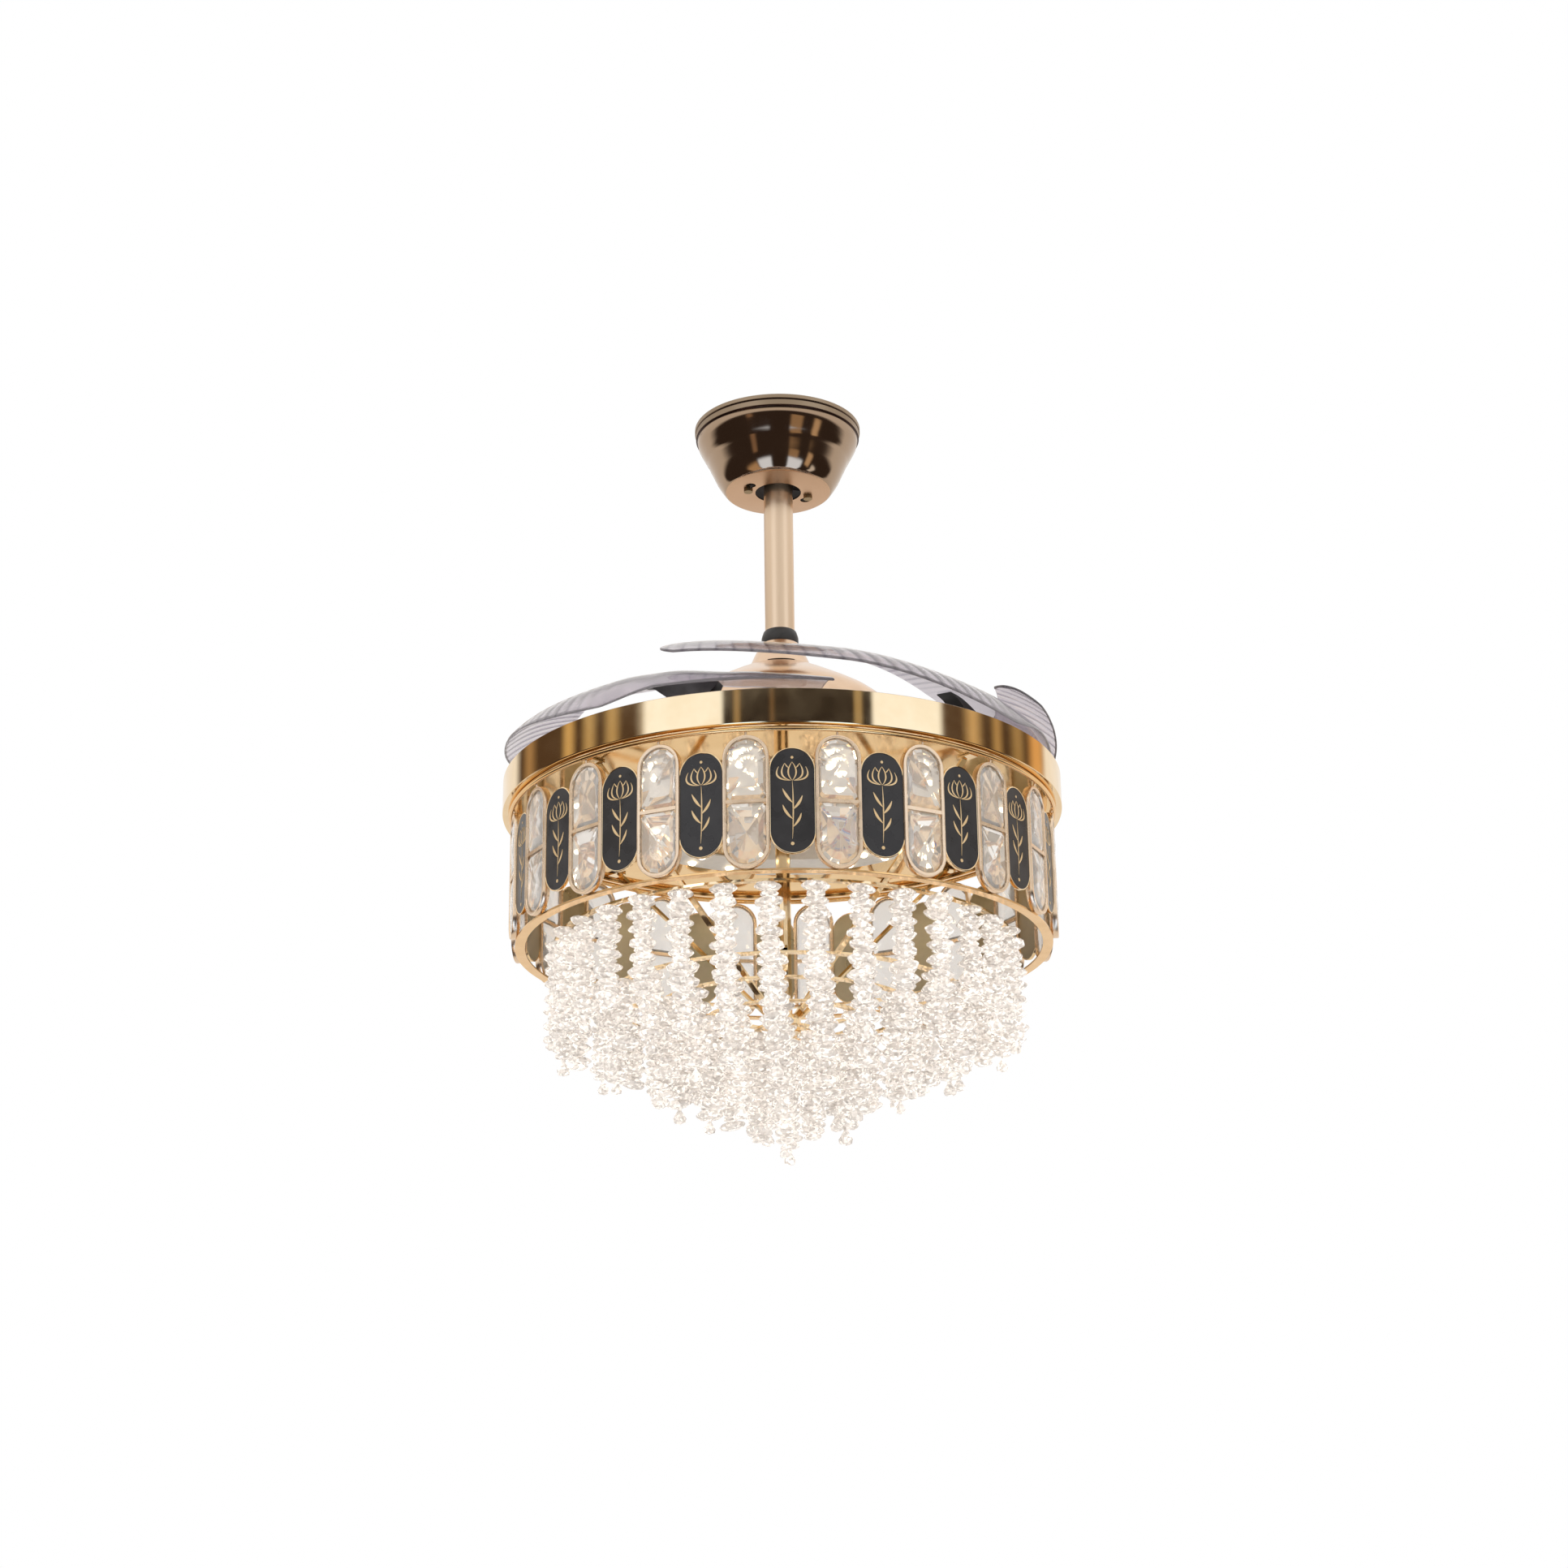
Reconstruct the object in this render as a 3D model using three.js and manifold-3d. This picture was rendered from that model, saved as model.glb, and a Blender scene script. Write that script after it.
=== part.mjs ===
// Ceiling fan with four folding blades over a crystal light. Millimetres, +Z up.
// The origin is on the ceiling, on the fan's axis; -Y is the front. Everything hangs below z = 0.
import * as THREE from 'three';
import { mergeVertices } from 'three/addons/utils/BufferGeometryUtils.js';
import Module from 'manifold-3d';

const wasm = await Module();
wasm.setup();

// ---- Driving dimensions ----
const GAP = 0.3; // between neighbouring pieces
const FRONT = -90; // polar angle of the front, degrees

const CANOPY_RADIUS = 77.5;
const CANOPY_BOTTOM = -64;
const CANOPY_HOLE_RADIUS = 21;
const BRACKET_TURN = 17; // the bracket and its screws are turned from the X axis
const BRACKET_WIDTH = 36;
const CANOPY_SCREW_RADIUS = 29;
const SADDLE_TOP = -48;
const SADDLE_HOLE_RADIUS = 16.4;
const BALL_RADIUS = 20;
const BALL_CENTRE = -35.8;

const ROD_RADIUS = 13.5; // standard fan downrod
const ROD_BORE = 11.3;
const ROD_TOP = -20;
const ROD_BOTTOM = -258;
const COLLAR_TOP = -205;
const COLLAR_BOTTOM = -218;
const SHAFT_RADIUS = 12.5;
const SHAFT_BORE = 7;
const SHAFT_BOTTOM = -380;

const ROTOR_RADIUS = 85;
const COVER_FLANGE_TOP = -259.5;
const COVER_RIM = -300;
const COVER_RIM_RADIUS = ROTOR_RADIUS + 19;
const ROTOR_TOP = -278;
const ROTOR_BOTTOM = -357.5;
const GEAR_SEAT_RADIUS = ROTOR_RADIUS + 3;
const GEAR_SEAT_HEIGHT = 6;
const BEARING_OUTER_RADIUS = 19.7;
const BEARING_DEPTH = 9;
const STATOR_TOP = -306;
const STATOR_BOTTOM = -330;

const TRAY_RADIUS = 250;

const GEAR_MODULE = TRAY_RADIUS / 50;
const RING_TEETH = 60;
const SECTOR_TEETH = 12;

const BLADES = 4;
const FIRST_TIP_ANGLE = -117; // polar angle of blade 1's tip; each blade runs on from its tip to its root
const BLADE_LENGTH_ANGLE = 128;
const PIVOT_ANGLE = 120; // from the tip
const PIVOT_RADIUS = (GEAR_MODULE * (RING_TEETH + SECTOR_TEETH)) / 2; // where the sectors meet the ring
const BLADE_THICKNESS = 2.4;
const POST_RADIUS = 5;
const PLATE_TOP = -358;
const PLATE_THICKNESS = 3;
const ARM_TOP = -334.5;
const ARM_REACH_ANGLE = 84; // from the tip: the arm runs from here to the pivot

const GEAR_BOTTOM = PLATE_TOP + GAP;
const GEAR_THICKNESS = 5;

const TRAY_TOP = -356.6;
const TRAY_FLOOR = -363; // the tray's sunken middle, under the blade plate
const TRAY_FLOOR_RADIUS = 0.868 * TRAY_RADIUS;
const TRAY_BOTTOM = -386.4;
const TRAY_WALL = 1.5;
const TRAY_LIP_RADIUS = TRAY_RADIUS - 10;

const FRAMES = 20; // gold frames with crystals, alternating with as many black plates
const FRAME_STEP = 360 / FRAMES;
const FIRST_PLATE_ANGLE = FRONT + 2.07;
const FRAME_PITCH_RADIUS = TRAY_RADIUS - 11.5;
const FRAME_DEPTH = 7;
const FRAME_WIDTH = 0.156 * TRAY_RADIUS;
const FRAME_WALL = 2;
const FRAME_TOP = -393.5;
const FRAME_BOTTOM = -508;
const BLACK_PLATE_WIDTH = 0.152 * TRAY_RADIUS;
const BLACK_PLATE_HEIGHT = 91;
const BLACK_PLATE_THICKNESS = 2;
const UPPER_RING_RADIUS = FRAME_PITCH_RADIUS + 4.1;
const UPPER_RING_Z = -389.2;
const UPPER_RING_WIRE = 2.2;
const LOWER_RING_OUTER = FRAME_PITCH_RADIUS - 1.5;
const LOWER_RING_INNER = LOWER_RING_OUTER - 9;
const LOWER_RING_TOP = -507.4;
const LOWER_RING_BOTTOM = -509.2;

const STRAND_HALF_WIDTH = 11; // a square column with the section of the round beads
const STRAND_POINT = 14; // height of the drop-shaped end
const STRAND_SHOULDER = 7; // height of the tapered top, whose tip is in the ring
const TIER_RADII = [0.8, 0.624, 0.448, 0.272, 0.096].map((share) => share * TRAY_RADIUS);
const TIER_STRANDS = [33, 25, 18, 11, 4];
const TIER_RING_HALF_WIDTH = 3;
const TIER_RING_THICKNESS = 2;
const OUTER_TIER_TOP = LOWER_RING_TOP + GAP + TIER_RING_THICKNESS;
const INNER_TIERS_LOW = -585; // the inner rings lie on a cone that meets the axis here
const CONE_TIP = -718; // the strands' ends lie on a bowed cone that meets the axis here
const CONE_RISE = 0.712;
const CONE_BOW = 0.172;
const HUB_TOP = -577;
const HUB_BOTTOM = -584;
const CENTRE_ROD_RADIUS = 6.6;

// ---- Materials ----
const material = (color, roughness, metalness) =>
  new THREE.MeshStandardMaterial({ color, roughness, metalness });
const gold = material(0xd9b27c, 0.18, 1);
const roseGold = material(0xcfa98a, 0.3, 1);
const bronze = material(0x8a7058, 0.2, 1);
const steel = material(0x9a9a9c, 0.4, 1);
const black = material(0x161616, 0.5, 0);
const copper = material(0xb06a3c, 0.35, 1);
const white = material(0xf0efec, 0.4, 0);
const smoke = material(0xa59fae, 0.12, 0);
smoke.transparent = true;
smoke.opacity = 0.6;
const crystalGlass = material(0xf2ece2, 0.05, 0);

// ---- Solids: three.js shapes, joined and cut ----
const radians = THREE.MathUtils.degToRad;

function signedVolume(points, index) {
  const a = new THREE.Vector3();
  const b = new THREE.Vector3();
  const c = new THREE.Vector3();
  let sum = 0;
  for (let i = 0; i < index.length; i += 3) {
    a.fromArray(points, index[i] * 3);
    b.fromArray(points, index[i + 1] * 3);
    c.fromArray(points, index[i + 2] * 3);
    sum += a.dot(b.cross(c));
  }
  return sum;
}

function solid(geometry) {
  geometry.deleteAttribute('normal');
  geometry.deleteAttribute('uv');
  const merged = mergeVertices(geometry, 1e-4);
  const points = merged.attributes.position.array;
  const index = Array.from(merged.index.array);
  const used = [];
  for (let i = 0; i < index.length; i += 3) {
    const [a, b, c] = index.slice(i, i + 3);
    if (a !== b && b !== c && c !== a) used.push(a, b, c);
  }
  if (signedVolume(points, used) < 0) used.reverse();
  const mesh = new wasm.Mesh({
    numProp: 3,
    vertProperties: new Float32Array(points),
    triVerts: new Uint32Array(used),
  });
  return new wasm.Manifold(mesh);
}

const join = (first, ...rest) => rest.reduce((sum, next) => sum.add(next), first);
const cut = (first, ...rest) => rest.reduce((sum, next) => sum.subtract(next), first);

function geometryOf(manifold) {
  const mesh = manifold.getMesh();
  const geometry = new THREE.BufferGeometry();
  geometry.setAttribute('position', new THREE.BufferAttribute(new Float32Array(mesh.vertProperties), 3));
  geometry.setIndex(Array.from(mesh.triVerts));
  return geometry;
}

// A profile of [radius, z] points turned round the Z axis; it closes on itself.
function turned(profile, segments = 24) {
  const points = profile.map(([r, z]) => new THREE.Vector2(r, z));
  points.push(points[0].clone());
  return solid(new THREE.LatheGeometry(points, segments).rotateX(Math.PI / 2));
}

const tube = (inner, outer, low, high, segments) =>
  turned([[inner, low], [outer, low], [outer, high], [inner, high]], segments);

function cylinder(radius, low, high, sides = 12) {
  return new THREE.CylinderGeometry(radius, radius, high - low, sides)
    .rotateX(Math.PI / 2)
    .translate(0, 0, (low + high) / 2);
}

const box = (dx, dy, dz, x, y, z) => new THREE.BoxGeometry(dx, dy, dz).translate(x, y, z);

function extruded(shape, low, high, curveSegments = 2) {
  const options = { depth: high - low, bevelEnabled: false, curveSegments };
  return new THREE.ExtrudeGeometry(shape, options).translate(0, 0, low);
}

// Turns a geometry round the fan's axis to a polar angle, after moving it out along X.
const around = (geometry, radius, angle) => geometry.translate(radius, 0, 0).rotateZ(radians(angle));

function ringSector(inner, outer, from, to) {
  const shape = new THREE.Shape();
  shape.absarc(0, 0, outer, radians(from), radians(to), false);
  shape.absarc(0, 0, inner, radians(to), radians(from), true);
  return shape;
}

// A group inside another, turned about the fan's axis.
function group(parent, turn = 0) {
  const inside = new THREE.Group();
  inside.rotation.z = radians(turn);
  parent.add(inside);
  return inside;
}

const fan = new THREE.Group();
const ceiling = group(fan, BRACKET_TURN);
const hanging = group(fan);
const light = group(hanging);
const rotor = group(hanging);

function part(name, manifold, look, parent) {
  const mesh = new THREE.Mesh(geometryOf(manifold), look);
  mesh.name = name;
  parent.add(mesh);
  return mesh;
}

// ---- Ceiling bracket: a strap on the ceiling, two legs and a saddle for the ball, open on one side ----
function mountingBracket() {
  const sheet = 2.5;
  const legX = 32;
  const strap = box(124, BRACKET_WIDTH, sheet, 0, 0, -sheet / 2);
  const legHeight = -SADDLE_TOP;
  const leg = (side) => solid(box(sheet, BRACKET_WIDTH, legHeight, side * legX, 0, -legHeight / 2));
  const saddle = box(2 * legX + sheet, BRACKET_WIDTH, sheet, 0, 0, SADDLE_TOP - sheet / 2);
  const hole = cylinder(SADDLE_HOLE_RADIUS, SADDLE_TOP - 5, SADDLE_TOP + 5, 16);
  const mouth = box(29, BRACKET_WIDTH, 2 * sheet, 0, BRACKET_WIDTH / 2, SADDLE_TOP - sheet / 2);
  const screwHoles = [-1, 1].map((side) =>
    solid(cylinder(2.4, SADDLE_TOP - 5, SADDLE_TOP + 5, 8).translate(side * CANOPY_SCREW_RADIUS, 0, 0)));
  const ceilingHoles = [-1, 1].map((side) => solid(cylinder(3, -5, 5, 8).translate(side * 50, 0, 0)));
  const shape = join(solid(strap), leg(-1), leg(1), solid(saddle));
  return cut(shape, solid(hole), solid(mouth), ...screwHoles, ...ceilingHoles);
}

// ---- Canopy: stepped rim, cove shoulder, bowl, flat bottom with the rod's hole and two screw slots ----
function canopy() {
  const outside = [
    [CANOPY_RADIUS, -0.5], [CANOPY_RADIUS, -4], [76, -5], [76, -11], [72, -21], [65.5, -31], [57.4, -51],
    [47.8, CANOPY_BOTTOM], [CANOPY_HOLE_RADIUS, CANOPY_BOTTOM],
  ];
  const inside = [
    [CANOPY_HOLE_RADIUS, CANOPY_BOTTOM + 1.2], [47.2, CANOPY_BOTTOM + 1.2], [56, -50.6], [64.1, -30.7],
    [70.6, -20.6], [74.4, -10.7], [74.4, -0.5],
  ];
  const slots = [-1, 1].map((side) => {
    const slot = box(5.4, 11, 6, side * CANOPY_SCREW_RADIUS, side * 3.4, CANOPY_BOTTOM);
    const eye = cylinder(4.6, CANOPY_BOTTOM - 3, CANOPY_BOTTOM + 3, 8);
    return join(solid(slot), solid(eye.translate(side * CANOPY_SCREW_RADIUS, side * 9, 0)));
  });
  return cut(turned([...outside, ...inside], 22), ...slots);
}

function canopyScrew() {
  const shank = cylinder(2.1, CANOPY_BOTTOM - 1, SADDLE_TOP + 3, 8);
  const head = cylinder(4.2, CANOPY_BOTTOM - GAP - 2.6, CANOPY_BOTTOM - GAP, 12);
  return join(solid(shank), solid(head));
}

part('mounting_bracket', mountingBracket(), steel, ceiling);
part('canopy', canopy(), bronze, ceiling);
part('canopy_screw_1', canopyScrew(), steel, ceiling).position.x = -CANOPY_SCREW_RADIUS;
part('canopy_screw_2', canopyScrew(), steel, ceiling).position.x = CANOPY_SCREW_RADIUS;

// ---- Hanger ball, its pin, the downrod and its collar ----
function hangerBall() {
  const ball = solid(new THREE.SphereGeometry(BALL_RADIUS, 12, 6).rotateX(Math.PI / 2));
  const flatTop = box(50, 50, 20, 0, 0, 17 + 10);
  const bore = cylinder(ROD_RADIUS + 2 * GAP, -30, 30, 16);
  return cut(ball, solid(flatTop), solid(bore), crossHole(0));
}

// A pin across the rod, along the Y axis.
const crossPin = (radius, halfLength) =>
  solid(cylinder(radius, -halfLength, halfLength, 8).rotateX(Math.PI / 2));
const crossHole = (z) => crossPin(3.4, 30).translate([0, 0, z]);

const COUPLING_PIN_Z = -241;

function downrod() {
  const rod = tube(ROD_BORE, ROD_RADIUS, ROD_BOTTOM, ROD_TOP, 16);
  return cut(rod, crossHole(BALL_CENTRE), crossHole(COUPLING_PIN_Z));
}

function rodCollar() {
  const inner = ROD_RADIUS + GAP;
  return turned([[inner, COLLAR_BOTTOM], [17, COLLAR_BOTTOM], [16.6, -210], [inner + 1.4, COLLAR_TOP],
    [inner, COLLAR_TOP]], 16);
}

part('hanger_ball', hangerBall(), black, hanging).position.z = BALL_CENTRE;
part('ball_pin', crossPin(3, 17), steel, hanging).position.z = BALL_CENTRE;
part('downrod', downrod(), roseGold, hanging);
part('rod_collar', rodCollar(), black, hanging);
part('coupling_pin', crossPin(3, 18), steel, hanging).position.z = COUPLING_PIN_Z;

// ---- Motor: bell cover, hollow fixed shaft with the cover's flange, stator, bearings and rotor ----
function motorCover() {
  const wall = 1.7;
  const top = COLLAR_BOTTOM - GAP;
  const outside = [
    [17, top], [24.6, -231], [30, -244], [36, -245.5], [63, -260], [COVER_RIM_RADIUS - 16, -273.5],
    [COVER_RIM_RADIUS - 4, -284],
    [COVER_RIM_RADIUS, COVER_RIM],
  ];
  const inside = [
    [COVER_RIM_RADIUS - wall, COVER_RIM], [COVER_RIM_RADIUS - 5.6, -285.1], [COVER_RIM_RADIUS - 16.8, -275.1],
    [35.4, -247.2], [28.7, -245.4],
    [15.3, top],
  ];
  return turned([...outside, ...inside], 22);
}

function motorShaft() {
  const insert = ROD_BORE - GAP;
  const flangeBottom = COVER_FLANGE_TOP - 3;
  const body = turned([
    [SHAFT_BORE, -228], [insert, -228], [insert, ROD_BOTTOM - GAP], [20, ROD_BOTTOM - GAP],
    [56, COVER_FLANGE_TOP], [56, flangeBottom], [16, flangeBottom], [16, ROTOR_TOP + 3],
    [SHAFT_RADIUS, ROTOR_TOP + 3], [SHAFT_RADIUS, SHAFT_BOTTOM], [SHAFT_BORE, SHAFT_BOTTOM],
  ], 14);
  return cut(body, crossHole(COUPLING_PIN_Z));
}

function stator() {
  const slots = 9;
  const tipRadius = ROTOR_RADIUS - 6;
  const outline = new THREE.Shape();
  for (let i = 0; i < slots; i += 1) {
    const turn = (i * 360) / slots;
    const corners = [[36, -14], [70, -12], [tipRadius, -17], [tipRadius, 17], [70, 12], [36, 14]];
    corners.forEach(([radius, angle], n) => {
      const at = radians(turn + angle);
      const move = i === 0 && n === 0 ? 'moveTo' : 'lineTo';
      outline[move](radius * Math.cos(at), radius * Math.sin(at));
    });
  }
  const bore = new THREE.Path();
  bore.absarc(0, 0, SHAFT_RADIUS + 2 * GAP, 0, 2 * Math.PI, true);
  outline.holes.push(bore);
  return solid(extruded(outline, STATOR_BOTTOM, STATOR_TOP, 8));
}

function rotorShell() {
  const seat = BEARING_OUTER_RADIUS + GAP;
  const wall = 3;
  const seatTop = ROTOR_BOTTOM + GEAR_SEAT_HEIGHT;
  return turned([
    [seat, ROTOR_TOP], [ROTOR_RADIUS, ROTOR_TOP], [ROTOR_RADIUS, seatTop],
    [GEAR_SEAT_RADIUS, seatTop], [GEAR_SEAT_RADIUS, ROTOR_BOTTOM], [seat, ROTOR_BOTTOM],
    [seat, ROTOR_BOTTOM + 12], [seat + wall, ROTOR_BOTTOM + 12], [seat + wall, ROTOR_BOTTOM + 4],
    [ROTOR_RADIUS - wall, ROTOR_BOTTOM + 4], [ROTOR_RADIUS - wall, ROTOR_TOP - wall],
    [seat + wall, ROTOR_TOP - wall], [seat + wall, ROTOR_TOP - 12], [seat, ROTOR_TOP - 12],
  ], 18);
}

// Torsion spring wound round the rotor, which folds the blades by turning the ring gear back.
const SPRING_RADIUS = GEAR_SEAT_RADIUS + 3;
const SPRING_TURNS = 2;
const SPRING_RISE = 12;
const SPRING_HALF_WIRE = 1.3;

class SpringHelix extends THREE.Curve {
  getPoint(t) {
    const angle = 2 * Math.PI * SPRING_TURNS * t;
    const start = ROTOR_BOTTOM + GEAR_SEAT_HEIGHT + GAP + SPRING_HALF_WIRE;
    const z = start + SPRING_RISE * t;
    return new THREE.Vector3(SPRING_RADIUS * Math.cos(angle), SPRING_RADIUS * Math.sin(angle), z);
  }
}

function returnSpring() {
  const half = SPRING_HALF_WIRE;
  const wire = new THREE.Shape();
  wire.moveTo(-half, -half);
  wire.lineTo(half, -half);
  wire.lineTo(half, half);
  wire.lineTo(-half, half);
  const options = { steps: 22, extrudePath: new SpringHelix(), bevelEnabled: false };
  return solid(new THREE.ExtrudeGeometry(wire, options));
}

part('motor_cover', motorCover(), roseGold, hanging);
part('motor_shaft', motorShaft(), steel, hanging);
part('stator', stator(), copper, hanging);
const bearing = tube(SHAFT_RADIUS + 2 * GAP, BEARING_OUTER_RADIUS, 0, BEARING_DEPTH, 16);
part('upper_bearing', bearing, steel, hanging).position.z = ROTOR_TOP - 1 - BEARING_DEPTH;
part('lower_bearing', bearing, steel, hanging).position.z = ROTOR_BOTTOM + 1;
part('rotor_shell', rotorShell(), steel, rotor);
part('return_spring', returnSpring(), steel, rotor);

// ---- Blades: each follows the tray's edge from a raised tip to a root under the next blade's tip ----
// Sections along the blade: angle from the tip, outer and inner edge as shares of the tray's radius, their
// heights above the tray, and how soon the section flattens inwards (small is a sharp turn-down outside).
const bladeSections = [
  { angle: 0, edge: 0.984, edgeRise: 42.6, inner: 0.812, innerRise: 66.6, bend: 0.9 },
  { angle: 40, edge: 1, edgeRise: 27.6, inner: 0.728, innerRise: 59.6, bend: 0.5 },
  { angle: 80, edge: 1, edgeRise: 5.6, inner: 0.664, innerRise: 47.6, bend: 0.24 },
  { angle: 92, edge: 0.996, edgeRise: 12.6, inner: 0.672, innerRise: 41.6, bend: 0.24 },
  { angle: 107, edge: 0.976, edgeRise: 12.6, inner: 0.688, innerRise: 33.6, bend: 0.28 },
  { angle: BLADE_LENGTH_ANGLE, edge: 0.944, edgeRise: 14.6, inner: 0.704, innerRise: 27.6, bend: 0.35 },
];

function sectionAt(angle) {
  const next = Math.max(1, bladeSections.findIndex((s) => s.angle >= angle));
  const [a, b] = [bladeSections[next - 1], bladeSections[next]];
  const t = (angle - a.angle) / (b.angle - a.angle);
  const ease = t * t * (3 - 2 * t) * 0.5 + t * 0.5;
  const mix = (key) => a[key] + (b[key] - a[key]) * ease;
  return {
    edge: mix('edge') * TRAY_RADIUS,
    edgeZ: TRAY_TOP + mix('edgeRise'),
    inner: mix('inner') * TRAY_RADIUS,
    innerZ: TRAY_TOP + mix('innerRise'),
    bend: mix('bend'),
  };
}

// A point of the blade's upper face; across runs from 0 at the outer edge to 1 at the inner edge.
function bladePoint(angle, across) {
  const s = sectionAt(angle);
  const radius = s.edge + (s.inner - s.edge) * across;
  const rise = (1 - Math.exp(-across / s.bend)) / (1 - Math.exp(-1 / s.bend));
  const beak = 2.5 * across * (1 - angle / BLADE_LENGTH_ANGLE);
  const at = radians(angle + beak);
  const z = s.edgeZ + (s.innerZ - s.edgeZ) * rise;
  return new THREE.Vector3(radius * Math.cos(at), radius * Math.sin(at), z);
}

// The sheet between two heights over and under the blade's upper face, tip at polar angle 0.
function bladeSheet(above, below) {
  const stations = 13;
  const across = [0, 0.09, 0.22, 0.4, 0.7, 1];
  const ring = 2 * across.length;
  const points = [];
  for (let i = 0; i < stations; i += 1) {
    const angle = (BLADE_LENGTH_ANGLE * i) / (stations - 1);
    const top = across.map((u) => bladePoint(angle, u));
    top.forEach((p) => points.push(p.x, p.y, p.z + above));
    top.reverse().forEach((p) => points.push(p.x, p.y, p.z - below));
  }
  const index = [];
  for (let i = 0; i < stations - 1; i += 1) {
    for (let j = 0; j < ring; j += 1) {
      const a = i * ring + j;
      const b = i * ring + ((j + 1) % ring);
      index.push(a, b, b + ring, a, b + ring, a + ring);
    }
  }
  for (let j = 0; j < across.length - 1; j += 1) {
    const under = ring - 1 - j;
    const last = (stations - 1) * ring;
    index.push(j, under, under - 1, j, under - 1, j + 1);
    index.push(last + j, last + under - 1, last + under, last + j, last + j + 1, last + under - 1);
  }
  const geometry = new THREE.BufferGeometry();
  geometry.setAttribute('position', new THREE.BufferAttribute(new Float32Array(points), 3));
  geometry.setIndex(index);
  return solid(geometry);
}

// ---- Gear teeth: straight flanks from the root circle to the tip circle ----
const TOOTH_SLACK = 0.35; // taken off each flank at the pitch circle

function toothCorners(teeth, centreAngle, tipHeight) {
  const pitch = (GEAR_MODULE * teeth) / 2;
  const root = pitch - 1.3 * GEAR_MODULE;
  const halfAtPitch = THREE.MathUtils.radToDeg((Math.PI * GEAR_MODULE / 4 - TOOTH_SLACK) / pitch);
  const lean = THREE.MathUtils.radToDeg((0.36 * GEAR_MODULE) / pitch);
  const tip = pitch + tipHeight;
  const tipHalf = halfAtPitch - lean * (tipHeight / GEAR_MODULE);
  const rootHalf = halfAtPitch + lean * 0.55;
  return [[root, centreAngle - rootHalf], [tip, centreAngle - tipHalf],
    [tip, centreAngle + tipHalf], [root, centreAngle + rootHalf]];
}

function polarShape(corners) {
  const shape = new THREE.Shape();
  corners.forEach(([radius, angle], n) => {
    const x = radius * Math.cos(radians(angle));
    const y = radius * Math.sin(radians(angle));
    if (n === 0) shape.moveTo(x, y);
    else shape.lineTo(x, y);
  });
  return shape;
}

const RING_TOOTH_STEP = 360 / RING_TEETH;
const SECTOR_TOOTH_STEP = 360 / SECTOR_TEETH;
const firstPivot = FIRST_TIP_ANGLE + PIVOT_ANGLE;

// The ring gear turns on the rotor's seat. It has teeth only where the four sectors reach it, and a tooth gap
// faces each pivot when the blades are folded.
function syncGear() {
  const corners = [];
  const teethPerBlade = 7;
  for (let blade = 0; blade < BLADES; blade += 1) {
    const pivot = firstPivot + (blade * 360) / BLADES;
    for (let i = 0; i < teethPerBlade; i += 1) {
      corners.push(...toothCorners(RING_TEETH, pivot + (i - 1.5) * RING_TOOTH_STEP, 0.8 * GEAR_MODULE));
    }
    const root = (GEAR_MODULE * RING_TEETH) / 2 - 1.3 * GEAR_MODULE;
    for (let i = 1; i < 4; i += 1) corners.push([root, pivot + 31 + i * 11]);
  }
  const shape = polarShape(corners);
  const bore = new THREE.Path();
  bore.absarc(0, 0, GEAR_SEAT_RADIUS + 4 * GAP, 0, 2 * Math.PI, true);
  shape.holes.push(bore);
  return solid(extruded(shape, GEAR_BOTTOM, GEAR_BOTTOM + GEAR_THICKNESS, 14));
}

// ---- Blade plate: turns with the rotor and carries the four pivot posts with their heads ----
function bladePlate() {
  const low = PLATE_TOP - PLATE_THICKNESS;
  const disc = tube(30, PIVOT_RADIUS + 16, low, PLATE_TOP, 32);
  const posts = [];
  for (let blade = 0; blade < BLADES; blade += 1) {
    const pivot = firstPivot + (blade * 360) / BLADES;
    posts.push(solid(around(cylinder(POST_RADIUS, low + 1, ARM_TOP + 1, 8), PIVOT_RADIUS, pivot)));
    posts.push(solid(around(cylinder(8, ARM_TOP + GAP, ARM_TOP + 2, 8), PIVOT_RADIUS, pivot)));
  }
  return join(disc, ...posts);
}

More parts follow.
